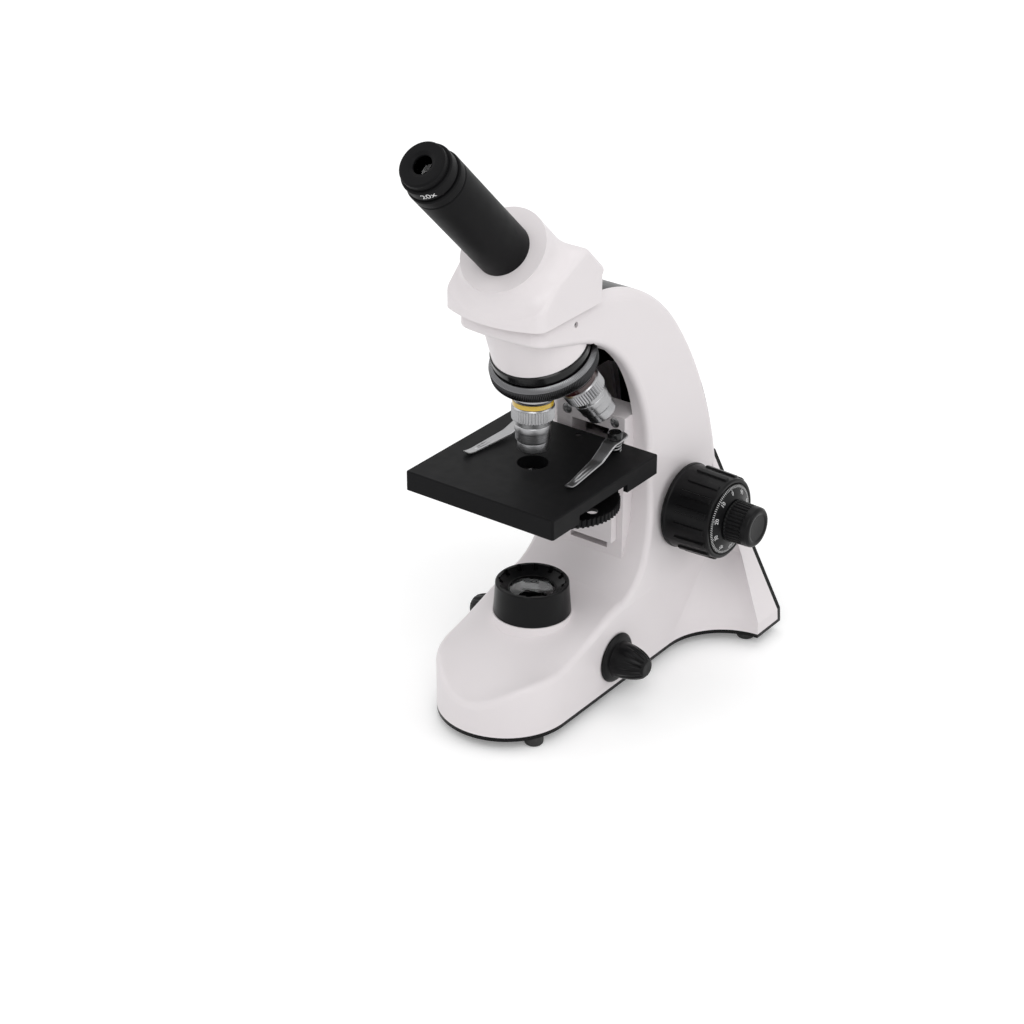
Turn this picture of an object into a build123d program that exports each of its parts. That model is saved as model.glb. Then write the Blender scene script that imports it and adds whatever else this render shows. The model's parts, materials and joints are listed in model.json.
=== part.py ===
from build123d import *
import os
from math import acos, asin, atan2, cos, degrees, pi, radians, sin, sqrt, tan

# Monocular student microscope, in millimetres.
# The origin is where the optical axis meets the table. +Z is up, -Y is the front,
# where the nose of the base and the eyepiece point, and +X is the dimmer's side.

# Clearances
RUN_GAP = 0.3
SHAFT_GAP = 0.05
SLIDE_GAP = 0.12

# Base
FOOT_HEIGHT = 5.6
FOOT_RADIUS = 5.0
FOOT_ROUND = 1.6
FOOT_FRONT_Y = -36.0
FOOT_REAR_Y = 118.5
FOOT_FRONT_INSET = 8.2
FOOT_REAR_INSET = 11.3
PLATE_THICK = 2.2
PLATE_TOP = FOOT_HEIGHT + PLATE_THICK
BASE_HALF = 36.0
NOSE_Y = -22.0
NOSE_TOP = 31.0
NOSE_EDGE_DROP = 1.5
LAMP_SEAT_TOP = 52.2
BASE_EDGE_DROP = 9.0
BASE_EDGE_ROUND = 4.0
WALL = 3.0
CROWN_EASE = (15.0, 0.4, 3.4)
CROWN_HEEL = (30.0, 1.2, 0.4)
CROWN_END = (63.3, 2.0, 0.2)
BASE_SCREW_INSET = 7.0
BASE_SCREW_ROWS = (-4.0, 62.0)
BASE_SCREW_SUNK = 0.3
BASE_HEAD_LENGTH = 1.2
BASE_SCREW_RADIUS = 1.5
BASE_SCREW_HEAD = 3.0
BASE_SCREW_TOP = 18.0
BASE_BOSS_RADIUS = 4.5
BOARD_FRONT_Y = 68.0
BOARD_LENGTH = 40.0
BOARD_HALF = 22.0
BOARD_THICK = 1.6
BOARD_Z = 16.0
BOARD_POST_RADIUS = 2.5
BOARD_POST_X = 18.0
BOARD_POST_INSET = 4.0

# Rear leg
TAIL_HALF = 69.0
TAIL_REAR_Y = 135.4
TOE_TOP = 14.5
FLARE_Y = 76.0
FLARE_RADIUS = 36.0
WAIST_Z = 50.0
WAIST_ROOT_Y = 110.0
WAIST_RIM_Y = 116.5
WAIST_SAG = 4.5
CREST_INSET = 2.0
CREST_SAG = 0.8
TOE_SET_BACK = 4.0
TAIL_HOLLOW_TOP = 40.0
LEG_OPEN_TOP = 37.0
SHOULDER_Y = 123.0
SHOULDER_Z = 104.0

# Arm and limb
ARM_FRONT_Y = 58.3
HEEL_Z = 100.0
HEEL_Y = 29.7
HEEL_TOP = 52.7
HEEL_SLOPE = 9.0
TOE_Y = -2.4
TOE_SIDE_Z = 35.0
TOE_DROP_Y = 4.0
TOE_DROP_Z = 8.0
THROAT_SIDE_Z = 130.0
THROAT_TOP_Y = 6.0
THROAT_TOP_Z = 204.6
LIMB_FRONT_Y = -31.8
LIMB_CORNER_Y = -27.6
LIMB_FRONT_UNDER = 214.6
LIMB_TOP = 224.5
LIMB_BACK_Y = 19.0
LIMB_HALF = 25.0
LIMB_FRONT_ROUND = 8.0
THROAT_ROUND = 3.0
BACK_ROUND = 6.0
TAPER_START_Z = 48.0
SLOT_HALF = 21.0
SLOT_TOP = 198.0
SLOT_FRONT_Y = 30.0

# Rear cover
COVER_THICK = 2.5
COVER_LEDGE = 5.5
COVER_TOP_HALF = 19.0
COVER_NECK_Z = 145.0
COVER_TOP_Z = 168.0
COVER_FRONT_Y = 20.5
LEDGE_WIDTH = 5.0
COVER_LOW_INSET = 9.0
COVER_LOW_Z = 11.0
COVER_HIGH_INSET = 3.5
COVER_HIGH_Z = 98.0
COVER_SCREW_HEAD = 2.8
COVER_SCREW_SUNK = 1.4
COVER_SCREW_RADIUS = 1.4
COVER_SCREW_LENGTH = 6.0
JACK_X = 30.0
JACK_Z = 25.0
JACK_RADIUS = 5.5
JACK_BORE = 2.75
JACK_BORE_DEPTH = 9.0
JACK_DEPTH = 14.0
JACK_BLOCK = 14.0

# Lamp
LAMP_TOP = 69.0
LAMP_TOP_RADIUS = 19.0
LAMP_FOOT_RADIUS = 20.1
LAMP_WALL = 2.2
LAMP_LENS_RADIUS = 11.7
LAMP_LENS_Z = 63.0
LAMP_BORE = 15.0
LAMP_NOTCHES = 12
LAMP_PAD_BOTTOM = LAMP_SEAT_TOP - 9.0

# Side knobs on the base
SIDE_KNOB_Y = 24.0
SIDE_KNOB_Z = 24.6
SIDE_FLANGE_RADIUS = 13.5
SIDE_FLANGE_THICK = 2.6
SIDE_KNOB_LENGTH = 20.0
SIDE_KNOB_RADIUS = 9.6
SIDE_KNOB_TIP = 5.6
SIDE_KNOB_FLUTES = 12
SIDE_SHAFT_RADIUS = 3.0

# Stage
STAGE_SIZE = 90.0
STAGE_TOP = 136.35
STAGE_PLATE = 4.0
STAGE_SKIRT = 10.5
STAGE_WALL = 2.5
STAGE_HOLE = 8.0
NOTCH_FRONT_Y = -23.0
NOTCH_BACK_Y = 18.0
NOTCH_DEPTH = 4.5
BRACKET_HALF = 14.0
BRACKET_FRONT_Y = 20.0
BRACKET_THICK = 5.8
STAGE_EDGE_ROUND = 0.8
STAGE_SCREW_Y = 39.0
STAGE_SCREW_HEAD = 1.6
STAGE_SCREW_RADIUS = 1.0
STAGE_SCREW_SUNK = 0.2
STAGE_SCREW_DEPTH = 1.2

# Slide guide
GUIDE_FRONT_Y = 50.0
GUIDE_THICK = 12.6
GUIDE_BOTTOM = 62.0
GUIDE_TOP = 139.0
GUIDE_CAP_TOP = 147.0
GUIDE_SCREW_X = 14.7
GUIDE_SCREW_HEAD = 2.6
GUIDE_SCREW_SUNK = 0.4
GUIDE_HEAD_LENGTH = 2.0
GUIDE_SCREW_RADIUS = 1.4
GUIDE_SCREW_LENGTH = 13.6
GUIDE_COUNTERBORE = 2.9
STAGE_DOWN = 9.0
STAGE_UP = 1.0
WINDOW_HALF = 11.6
WINDOW_BOTTOM = 70.0
CARRIAGE_BOTTOM = WINDOW_BOTTOM + STAGE_DOWN + 0.5
CARRIAGE_HALF = 17.4
CARRIAGE_FRONT_Y = 45.1
CARRIAGE_PLATE_BOTTOM = 76.3
CARRIAGE_FLANGE_THICK = 3.5

# Diaphragm disc
DISC_TOP = 119.5
DISC_THICK = 4.2
DISC_RADIUS = 26.0
DISC_X = 17.5
DISC_Y = 6.5
DISC_TEETH = 60
DISC_TOOTH = 0.9
DISC_HOLES = (1.5, 2.2, 2.9, 3.6, 4.3)
DISC_BOSS_RADIUS = 5.0
DISC_SCREW_RADIUS = 1.8
DISC_SCREW_HEAD = 4.0
CELL_RADIUS = 10.8
CELL_GAP = 0.6

# Specimen clips
CLIP_POST_X = 25.5
CLIP_POST_Y = 35.0
CLIP_TIP_X = 31.5
CLIP_TIP_Y = -15.0
CLIP_TAIL = 9.0
CLIP_WIDTH = 9.0
CLIP_TIP_WIDTH = 4.4
CLIP_BEND = 6.0
CLIP_LANDING = 19.0
CLIP_THICK = 0.9
CLIP_HIGH = 142.4
CLIP_LOW = 137.0
POST_RADIUS = 1.8
POST_CAP_RADIUS = 3.8
POST_TOP = 147.1
SPRING_WIRE = 0.9
SPRING_RADIUS = 2.9
SPRING_TURNS = 3
QUARTERS = 4

# Nosepiece
NOSE_TILT = 20.0
APEX_Z = 212.0
MOUNT_RADIUS = 24.2
MOUNT_END = 14.0
RACE_RADIUS = 25.0
RACE_END = 20.0
TURRET_RADIUS = 26.8
TURRET_RING_END = 28.0
STUD_RADIUS = 2.2
STUD_HEAD = 3.0
LIGHT_RADIUS = 3.4
OBJECTIVE_COUNT = 3
SEAT_DISTANCE = 36.0
THREAD_RADIUS = 8.0
THREAD_LENGTH = 3.5
BAND_START = 40.2
BAND_RADIUS = 10.4
BAND_LENGTH = 2.4
GRIP_RADIUS = 10.85
GRIP_START = 43.4
GRIP_END = 50.2
BARREL_RADIUS = 9.05
TIP_RADIUS = 7.85
TIP_LENGTH = 5.8
HIGH_TIP_RADIUS = 6.0
LENS_RADIUS = 4.0
LOW_LENGTH = 66.5
MID_LENGTH = 67.8
HIGH_LENGTH = 72.6

# Head
TUBE_CROSS_Z = 233.4
TUBE_LEAN = 45.0
HEAD_HALF = 29.0
HEAD_FRONT_Y = -39.8
HEAD_CORNER_Y = -32.0
HEAD_BACK_Y = 16.0
HEAD_CORNER = 7.0
HEAD_WALL_Z = 235.0
HEAD_PEAK_Y = 20.0
HEAD_PEAK_Z = 241.0
HEAD_RIDGE_Y = 4.0
HEAD_RIDGE_Z = 257.0
HEAD_BROW_Y = -20.0
HEAD_BROW_Z = 246.0
HEAD_CHIN_Z = 227.7
HEAD_FLOOR = 3.5
HEAD_BROW_ROUND = 12.0
HEAD_RIDGE_ROUND = 6.0
HEAD_EDGE_ROUND = 3.0
HEAD_BLEND_ROUND = 12.0
SPIGOT_RADIUS = 17.0
SPIGOT_DEPTH = 9.0
BOSS_RADIUS = 22.5
BOSS_END = 34.5
TUBE_RADIUS = 13.8
TUBE_BORE = 11.7
TUBE_START = 22.0
TUBE_END = 102.0
EYE_SHOULDER_END = 108.0
EYE_RING_RADIUS = 13.0
EYE_RING_END = 114.5
EYE_CAP_RADIUS = 11.5
EYE_CAP_END = 118.8
EYE_HOLE = 4.8
EYE_BARREL = 26.0
CLAMP_Z = 217.5
CLAMP_RADIUS = 1.5

# Focus drive
SHAFT_Y = 86.0
SHAFT_Z = 88.0
GEAR_MODULE = 0.8
PRESSURE = 25.0
ADDENDUM = 0.9
DEDENDUM = 1.15
TOOTH_EASE = 0.1
RACK_PINION_TEETH = 14
SMALL_TEETH = 12
LARGE_TEETH = 36
COUNTER_ANGLE = 60.0
GEAR_WIDTH = 3.0
RACK_HALF = 4.0
FINE_GEAR_X = -9.0
LEFT_GEAR_X = -14.5
RIGHT_GEAR_X = 8.0
FINE_RADIUS = 1.9
SLEEVE_RADIUS = 3.5
BUSH_RADIUS = 7.0
COUNTER_PIN_RADIUS = 2.0
COARSE_STANDOFF = 2.0
COARSE_LENGTH = 28.0
COARSE_RADIUS = 23.0
COARSE_END_RADIUS = 21.6
COARSE_RIBS = 16
DIAL_RADIUS = 18.9
DIAL_TOP_RADIUS = 12.0
DIAL_THICK = 3.0
DIAL_CROWN = 2.5
FINE_LENGTH = 17.5
FINE_KNOB_RADIUS = 11.2
FINE_KNOB_RIBS = 22

ARM_TAPER = (BASE_HALF - LIMB_HALF) / (LIMB_TOP - TAPER_START_Z)
COARSE_INNER_X = BASE_HALF - ARM_TAPER * (SHAFT_Z - TAPER_START_Z) + COARSE_STANDOFF
COARSE_OUTER_X = COARSE_INNER_X + COARSE_LENGTH
FINE_INNER_X = COARSE_OUTER_X + DIAL_CROWN
FINE_OUTER_X = COARSE_OUTER_X + FINE_LENGTH
STAGE_UNDER = STAGE_TOP - STAGE_PLATE
SKIRT_BOTTOM = STAGE_TOP - STAGE_SKIRT
HALF_STAGE = STAGE_SIZE / 2
HEAD_BOTTOM = LIMB_TOP + RUN_GAP
REACH = 200.0

# Slanted frames: the nosepiece's axis and the eyepiece tube's axis
NOSE = Plane(origin=(0, 0, APEX_Z), x_dir=(1, 0, 0),
             z_dir=(0, sin(radians(NOSE_TILT)), -cos(radians(NOSE_TILT))))
TUBE = Plane(origin=(0, 0, TUBE_CROSS_Z), x_dir=(1, 0, 0),
             z_dir=(0, -sin(radians(TUBE_LEAN)), cos(radians(TUBE_LEAN))))


def block(x0, x1, y0, y1, z0, z1):
    """A box between two corners."""
    middle = Pos((x0 + x1) / 2, (y0 + y1) / 2, (z0 + z1) / 2)
    return middle * Box(x1 - x0, y1 - y0, z1 - z0)


def post(radius, z0, z1, x=0.0, y=0.0):
    """An upright cylinder."""
    return Pos(x, y, (z0 + z1) / 2) * Cylinder(radius, z1 - z0)


def axle(radius, x0, x1, y, z):
    """A cylinder along X."""
    return Pos((x0 + x1) / 2, y, z) * Rot(0, 90, 0) * Cylinder(radius, abs(x1 - x0))


def cone_x(radius0, radius1, x0, x1, y, z):
    """A tapered cylinder along X, radius0 at x0 and radius1 at x1 > x0."""
    return Pos((x0 + x1) / 2, y, z) * Rot(0, 90, 0) * Cone(radius0, radius1, x1 - x0)


def mirrored(shape):
    """The same shape on the other side of the middle plane."""
    return mirror(shape, about=Plane.YZ)


def spun(points):
    """A solid turned about Z from its half section, given as (radius, z) points."""
    section = Plane.XZ * make_face(Polyline(points, close=True))
    return revolve(section, Axis.Z)


def biarc(start, start_way, end, end_way):
    """Two arcs, tangent to each other and to the ways given at both ends."""
    start = Vector(start)
    end = Vector(end)
    first_way = Vector(start_way).normalized()
    last_way = Vector(end_way).normalized()
    span = end - start
    turn = 2 * (1 - first_way.dot(last_way))
    along = span.dot(first_way + last_way)
    reach = (sqrt(along * along + turn * span.dot(span)) - along) / turn
    middle = (start + first_way * reach + end - last_way * reach) * 0.5
    first = TangentArc(start, middle, tangent=first_way)
    return [first, TangentArc(middle, end, tangent=first % 1)]


# Body shell

def arm_face():
    """Side view of the arm and limb, drawn with Y across and Z up."""
    rear = Line((TAIL_REAR_Y, PLATE_TOP), (SHOULDER_Y, SHOULDER_Z))
    back = biarc(rear @ 1, rear % 1, (LIMB_BACK_Y, LIMB_TOP), (-1, 0))
    top = Line((LIMB_BACK_Y, LIMB_TOP), (LIMB_FRONT_Y, LIMB_TOP))
    front = Line(top @ 1, (LIMB_FRONT_Y, LIMB_FRONT_UNDER))
    under = Line(front @ 1, (THROAT_TOP_Y, THROAT_TOP_Z))
    throat = biarc(under @ 1, under % 1, (ARM_FRONT_Y, THROAT_SIDE_Z), (0, -1))
    column = Line((ARM_FRONT_Y, THROAT_SIDE_Z), (ARM_FRONT_Y, HEEL_Z))
    slope = radians(HEEL_SLOPE)
    heel = biarc(column @ 1, (0, -1), (HEEL_Y, HEEL_TOP), (-cos(slope), -sin(slope)))
    toe = Polyline(
        (HEEL_Y, HEEL_TOP),
        (HEEL_Y - TOE_DROP_Y, HEEL_TOP - TOE_DROP_Z),
        (TOE_Y, TOE_SIDE_Z),
        (TOE_Y, PLATE_TOP),
        (TAIL_REAR_Y, PLATE_TOP),
    )
    return make_face([rear, *back, top, front, under, *throat, column, *heel, toe])


def across(face, half=REACH):
    """A side view carried across X, to both sides."""
    return extrude(Plane.YZ * face, amount=half, both=True)


def half_width(z):
    """Half the width of the tapered arm at a height."""
    return BASE_HALF - ARM_TAPER * max(0.0, z - TAPER_START_Z)


def taper(inset):
    """The arm's front view, carried along Y."""
    top = LIMB_TOP + 1.0
    outline = Polyline(
        (-BASE_HALF + inset, 0),
        (BASE_HALF - inset, 0),
        (BASE_HALF - inset, TAPER_START_Z),
        (half_width(top) - inset, top),
        (-half_width(top) + inset, top),
        (-BASE_HALF + inset, TAPER_START_Z),
        close=True,
    )
    return extrude(Plane.XZ * make_face(outline), amount=REACH, both=True)


def bowed_front(half, corner_y, front_y):
    """All that lies behind an upright front that bows forward between two corners."""
    bow = corner_y - front_y
    radius = (half**2 + bow**2) / (2 * bow)
    middle = front_y + radius
    edges = [
        ThreePointArc((-radius, middle), (0, front_y), (radius, middle)),
        Line((radius, middle), (radius, REACH)),
        Line((radius, REACH), (-radius, REACH)),
        Line((-radius, REACH), (-radius, middle)),
    ]
    return extrude(make_face(edges), amount=2 * REACH)


def front_uprights(solid, corner_y):
    """The upright edges at the two front corners of a bowed block."""
    uprights = solid.edges().filter_by(lambda edge: abs(edge.tangent_at(0.5).Z) > 0.9)
    return uprights.filter_by_position(Axis.Y, corner_y - 1.5, corner_y + 1.5)


def arm_form():
    """The arm and limb, with their edges rounded."""
    solid = across(arm_face()) & taper(0.0)
    solid &= bowed_front(LIMB_HALF, LIMB_CORNER_Y, LIMB_FRONT_Y)
    solid = fillet(front_uprights(solid, LIMB_CORNER_Y), LIMB_FRONT_ROUND)
    back = [edge for edge in side_edges(solid)
            if edge.center().Y > ARM_FRONT_Y + 1.0 and edge.center().Z > SHOULDER_Z]
    solid = fillet(back, BACK_ROUND)
    throat = [edge for edge in side_edges(solid) if edge.center().Y < ARM_FRONT_Y + 1.0
              and TAPER_START_Z + 2.0 < edge.center().Z < LIMB_FRONT_UNDER]
    return fillet(throat, THROAT_ROUND)


def side_edges(solid):
    """The long edges along both sides of the arm."""
    outer = solid.edges().filter_by(lambda edge: abs(edge.center().X) > LIMB_HALF - 5.0)
    return outer.filter_by(lambda edge: abs(edge.tangent_at(0.5).X) < 0.3 and edge.length > 5.0)


def arm_hollow():
    """The space inside the arm, behind its solid limb and in front of the cover's ledge."""
    inner = offset(arm_face(), amount=-WALL) & Pos(-COVER_LEDGE, -COVER_LEDGE) * arm_face()
    below = make_face(Polyline((HEEL_Y, 0), (TAIL_REAR_Y - 2 * COVER_LEDGE, 0),
                               (TAIL_REAR_Y - 2 * COVER_LEDGE, 2 * PLATE_TOP),
                               (HEEL_Y, 2 * PLATE_TOP), close=True))
    limb = block(-REACH, REACH, -REACH, SPIGOT_RADIUS, THROAT_SIDE_Z, 2 * REACH)
    return ((across(inner) + across(below)) & taper(WALL)) - limb


def rear_y(z):
    """Where the back of the body is at a height below the shoulder."""
    return TAIL_REAR_Y + (SHOULDER_Y - TAIL_REAR_Y) * (z - PLATE_TOP) / (SHOULDER_Z - PLATE_TOP)


def tail_section(z, half, rim_y, root_half, root_y, sag, inset, back):
    """One level of the rear leg: a flat back, rims and a scoop on each side."""
    half = half - inset
    root_half = root_half - inset
    rim_y = rim_y + inset
    root_y = root_y + inset
    rear = rear_y(z) - back
    run = Vector(half - root_half, rim_y - root_y)
    bow = Vector(-run.Y, run.X).normalized() * sag
    middle = Vector((half + root_half) / 2, (rim_y + root_y) / 2) + bow
    right = ThreePointArc((root_half, root_y), (middle.X, middle.Y), (half, rim_y))
    left = ThreePointArc((-half, rim_y), (-middle.X, middle.Y), (-root_half, root_y))
    edges = [
        right,
        Line((half, rim_y), (half, rear)),
        Line((half, rear), (-half, rear)),
        Line((-half, rear), (-half, rim_y)),
        left,
        Line((-root_half, root_y), (root_half, root_y)),
    ]
    return Pos(0, 0, z) * make_face(edges)


def tail_half(z):
    """Half the width of the rear leg above its toe."""
    share = (z - TOE_TOP) / (SHOULDER_Z - TOE_TOP)
    return TAIL_HALF + (half_width(SHOULDER_Z) - CREST_INSET - TAIL_HALF) * share


def tail_form(inset, back, bottom, top=SHOULDER_Z):
    """The rear leg that spreads from the arm to the two rear feet, up to a height."""
    flare_rim = FLARE_Y + sqrt(FLARE_RADIUS**2 - (BASE_HALF + FLARE_RADIUS - TAIL_HALF) ** 2)
    chord = sqrt((TAIL_HALF - BASE_HALF) ** 2 + (flare_rim - FLARE_Y) ** 2)
    sag = FLARE_RADIUS - sqrt(FLARE_RADIUS**2 - chord**2 / 4)
    crest_half = half_width(SHOULDER_Z) - CREST_INSET
    foot = (TAIL_HALF, flare_rim, BASE_HALF, FLARE_Y, sag)
    toe = (TAIL_HALF, flare_rim, BASE_HALF, FLARE_Y + TOE_SET_BACK, sag)
    waist = (tail_half(WAIST_Z), WAIST_RIM_Y, BASE_HALF - 0.5, WAIST_ROOT_Y, WAIST_SAG)
    crest = (crest_half, SHOULDER_Y - 6.0, crest_half - 4.0, SHOULDER_Y - 9.0, CREST_SAG)
    levels = [(bottom, foot), (TOE_TOP, toe)]
    if top < WAIST_Z:
        share = (top - TOE_TOP) / (WAIST_Z - TOE_TOP)
        levels.append((top, [low + (high - low) * share for low, high in zip(toe, waist)]))
    else:
        levels += [(WAIST_Z, waist), (SHOULDER_Z, crest)]
    return loft([tail_section(z, *sizes, inset, back) for z, sizes in levels], ruled=True)


def nose_face(inset):
    """Plan of the base: a round nose and straight sides."""
    half = BASE_HALF - inset
    back = ARM_FRONT_Y
    edges = [
        ThreePointArc((-half, NOSE_Y), (0, NOSE_Y - half), (half, NOSE_Y)),
        Line((half, NOSE_Y), (half, back)),
        Line((half, back), (-half, back)),
        Line((-half, back), (-half, NOSE_Y)),
    ]
    return make_face(edges)


def crown_section(y, middle_z, drop):
    """What lies above the crowned top of the base at one place."""
    wide = BASE_HALF * 1.4
    edge_z = middle_z - drop * (wide / BASE_HALF) ** 2
    edges = [
        ThreePointArc((-wide, edge_z), (0, middle_z), (wide, edge_z)),
        Line((wide, edge_z), (wide, REACH)),
        Line((wide, REACH), (-wide, REACH)),
        Line((-wide, REACH), (-wide, edge_z)),
    ]
    return Pos(0, y, 0) * (Plane.XZ * make_face(edges))


def base_form(inset, bottom):
    """The nose and middle of the base under its crowned, sloping top."""
    nose_front = NOSE_Y - BASE_HALF
    seat = LAMP_SEAT_TOP - inset
    slope = (LAMP_SEAT_TOP - NOSE_TOP) / -nose_front
    sections = [
        crown_section(nose_front - 8.0, NOSE_TOP - inset - 8.0 * slope, NOSE_EDGE_DROP),
        crown_section(nose_front / 2, (NOSE_TOP + LAMP_SEAT_TOP) / 2 - inset, BASE_EDGE_DROP / 2),
        crown_section(0.0, seat, BASE_EDGE_DROP),
    ]
    sections += [crown_section(y, seat + rise, drop) for y, rise, drop in (CROWN_EASE, CROWN_HEEL, CROWN_END)]
    solid = extrude(Pos(0, 0, bottom) * nose_face(inset), amount=LAMP_TOP - bottom)
    return solid - loft(sections)


def cover_band(depth):
    """The back of the body, as deep as asked, from the leg over the arm to the head."""
    band = offset(arm_face(), amount=WALL) - Pos(-depth, -depth) * arm_face()
    heel = block(-REACH, REACH, -REACH, ARM_FRONT_Y + WALL, 0, THROAT_SIDE_Z)
    return across(band) & block(-REACH, REACH, COVER_FRONT_Y, REACH, 0, REACH + 50) - heel


def cover_front_view(inset):
    """The cover's outline seen from behind, carried along Y."""
    crest = half_width(SHOULDER_Z)
    right = [
        (TAIL_HALF - inset, PLATE_TOP + inset),
        (TAIL_HALF - inset, TOE_TOP),
        (crest - inset, SHOULDER_Z + 2.0),
        (half_width(COVER_NECK_Z) - inset, COVER_NECK_Z),
        (COVER_TOP_HALF - inset, COVER_TOP_Z),
        (COVER_TOP_HALF - inset, LIMB_TOP + 1.0 - inset),
    ]
    left = [(-x, z) for x, z in reversed(right)]
    outline = make_face(Polyline(*right, *left, close=True))
    return extrude(Plane.XZ * outline, amount=-REACH)


def lamp_hole():
    return post(LAMP_BORE, PLATE_TOP + WALL, LAMP_TOP)


def counter_place():
    """Where the counter shaft is, as Y and Z."""
    distance = GEAR_MODULE * (SMALL_TEETH + LARGE_TEETH) / 2
    angle = radians(COUNTER_ANGLE)
    return SHAFT_Y + distance * cos(angle), SHAFT_Z + distance * sin(angle)


def envelope():
    """The whole outside of the body, its rear cover included."""
    base = base_form(0.0, PLATE_TOP)
    rim = [edge for edge in base.edges() if edge.center().Z > PLATE_TOP
           and edge.center().Y < ARM_FRONT_Y - 1.0 and abs(edge.tangent_at(0.5).Z) < 0.7]
    return fillet(rim, BASE_EDGE_ROUND) + arm_form() + tail_form(0.0, 0.0, PLATE_TOP)


def body_shell(outside):
    below = PLATE_TOP - 1.0
    hollow = base_form(WALL, below) + arm_hollow() + tail_form(WALL, 2 * COVER_LEDGE, below, TAIL_HOLLOW_TOP)
    shell = outside - hollow
    shell += post(LAMP_FOOT_RADIUS + 0.6, LAMP_PAD_BOTTOM, LAMP_SEAT_TOP)
    shell -= post(LAMP_FOOT_RADIUS + 0.6, LAMP_SEAT_TOP, LAMP_TOP)
    shell += outside & post(SPIGOT_RADIUS + 5.0, APEX_Z + 1.0, LIMB_TOP)
    shell += outside & NOSE * post(TURRET_RADIUS + 4.0, -2.0, TURRET_RING_END + 2.0)
    shell -= NOSE * post(TURRET_RADIUS + 0.8, MOUNT_END, SEAT_DISTANCE)
    shell -= cover_band(COVER_THICK) & cover_front_view(0.0)
    behind = taper(WALL) + block(-REACH, REACH, -REACH, REACH, 0.0, LEG_OPEN_TOP)
    shell -= cover_band(3 * COVER_LEDGE) & cover_front_view(LEDGE_WIDTH) & behind
    slot_back = ARM_FRONT_Y + 10.0
    slot = block(-SLOT_HALF, SLOT_HALF, GUIDE_FRONT_Y, slot_back, GUIDE_BOTTOM, GUIDE_CAP_TOP)
    slot += block(-SLOT_HALF, SLOT_HALF, SLOT_FRONT_Y, slot_back, GUIDE_CAP_TOP, SLOT_TOP)
    shell -= slot & across(offset(arm_face(), amount=0.5))
    pocket = CARRIAGE_HALF + RUN_GAP
    shell -= block(-pocket, pocket, CARRIAGE_FRONT_Y - RUN_GAP, GUIDE_FRONT_Y,
                   CARRIAGE_PLATE_BOTTOM - STAGE_DOWN - RUN_GAP, GUIDE_TOP)
    bridge_y = GUIDE_FRONT_Y + GUIDE_THICK
    shell += block(-half_width(GUIDE_TOP) + 1, half_width(GUIDE_TOP) - 1, bridge_y, bridge_y + 5.0,
                   GUIDE_TOP, GUIDE_CAP_TOP)
    shell -= lamp_hole()
    shell -= post(SPIGOT_RADIUS + SHAFT_GAP, LIMB_TOP - SPIGOT_DEPTH - 0.5, LIMB_TOP + 1)
    shell -= post(LIGHT_RADIUS + 6.0, APEX_Z - 20, LIMB_TOP)
    pin_y, pin_z = counter_place()
    wall_x = half_width(pin_z) - WALL
    for side in (1, -1):
        shell += axle(5.0, side * (wall_x - 6.0), side * (wall_x + 1.0), pin_y, pin_z)
    shell -= axle(COUNTER_PIN_RADIUS, -wall_x, wall_x, pin_y, pin_z)
    shell -= axle(BUSH_RADIUS, -REACH, REACH, SHAFT_Y, SHAFT_Z)
    shell -= axle(SIDE_SHAFT_RADIUS + 1.0, -REACH, REACH, SIDE_KNOB_Y, SIDE_KNOB_Z)
    shell -= axle(CLAMP_RADIUS, 0, REACH, 0, CLAMP_Z)
    for x, y in base_screw_places():
        shell += post(BASE_BOSS_RADIUS, PLATE_TOP, BASE_SCREW_TOP + 3.0, x, y)
    return shell - guide_screws() - base_plate_screws() - rear_cover_screws()


def on_both_sides(places):
    """Places given for the +X side, as (x, other), and their mirror images."""
    return [(side * x, other) for x, other in places for side in (1, -1)]


def base_screw_places():
    return on_both_sides([(BASE_HALF - BASE_SCREW_INSET, y) for y in BASE_SCREW_ROWS])


def plan_face():
    """Plan of the whole base: nose, straight sides, flared leg."""
    flare_x = BASE_HALF + FLARE_RADIUS
    rim_turn = acos((flare_x - TAIL_HALF) / FLARE_RADIUS)
    rim = (TAIL_HALF, FLARE_Y + FLARE_RADIUS * sin(rim_turn))
    bow = (flare_x - FLARE_RADIUS * cos(rim_turn / 2), FLARE_Y + FLARE_RADIUS * sin(rim_turn / 2))
    edges = [
        ThreePointArc((-BASE_HALF, NOSE_Y), (0, NOSE_Y - BASE_HALF), (BASE_HALF, NOSE_Y)),
        Line((BASE_HALF, NOSE_Y), (BASE_HALF, FLARE_Y)),
        ThreePointArc((BASE_HALF, FLARE_Y), bow, rim),
        Line(rim, (TAIL_HALF, TAIL_REAR_Y)),
        Line((TAIL_HALF, TAIL_REAR_Y), (-TAIL_HALF, TAIL_REAR_Y)),
        Line((-TAIL_HALF, TAIL_REAR_Y), (-rim[0], rim[1])),
        ThreePointArc((-rim[0], rim[1]), (-bow[0], bow[1]), (-BASE_HALF, FLARE_Y)),
        Line((-BASE_HALF, FLARE_Y), (-BASE_HALF, NOSE_Y)),
    ]
    return make_face(edges)


def board_posts():
    """Where the circuit board stands on the base plate."""
    rows = (BOARD_FRONT_Y + BOARD_POST_INSET, BOARD_FRONT_Y + BOARD_LENGTH - BOARD_POST_INSET)
    return [(x, y) for x in (-BOARD_POST_X, BOARD_POST_X) for y in rows]


def base_plate():
    plate = extrude(Pos(0, 0, FOOT_HEIGHT) * plan_face(), amount=PLATE_THICK)
    for x, y in board_posts():
        plate += post(BOARD_POST_RADIUS, PLATE_TOP, BOARD_Z, x, y)
    return plate - base_plate_screws()


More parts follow.
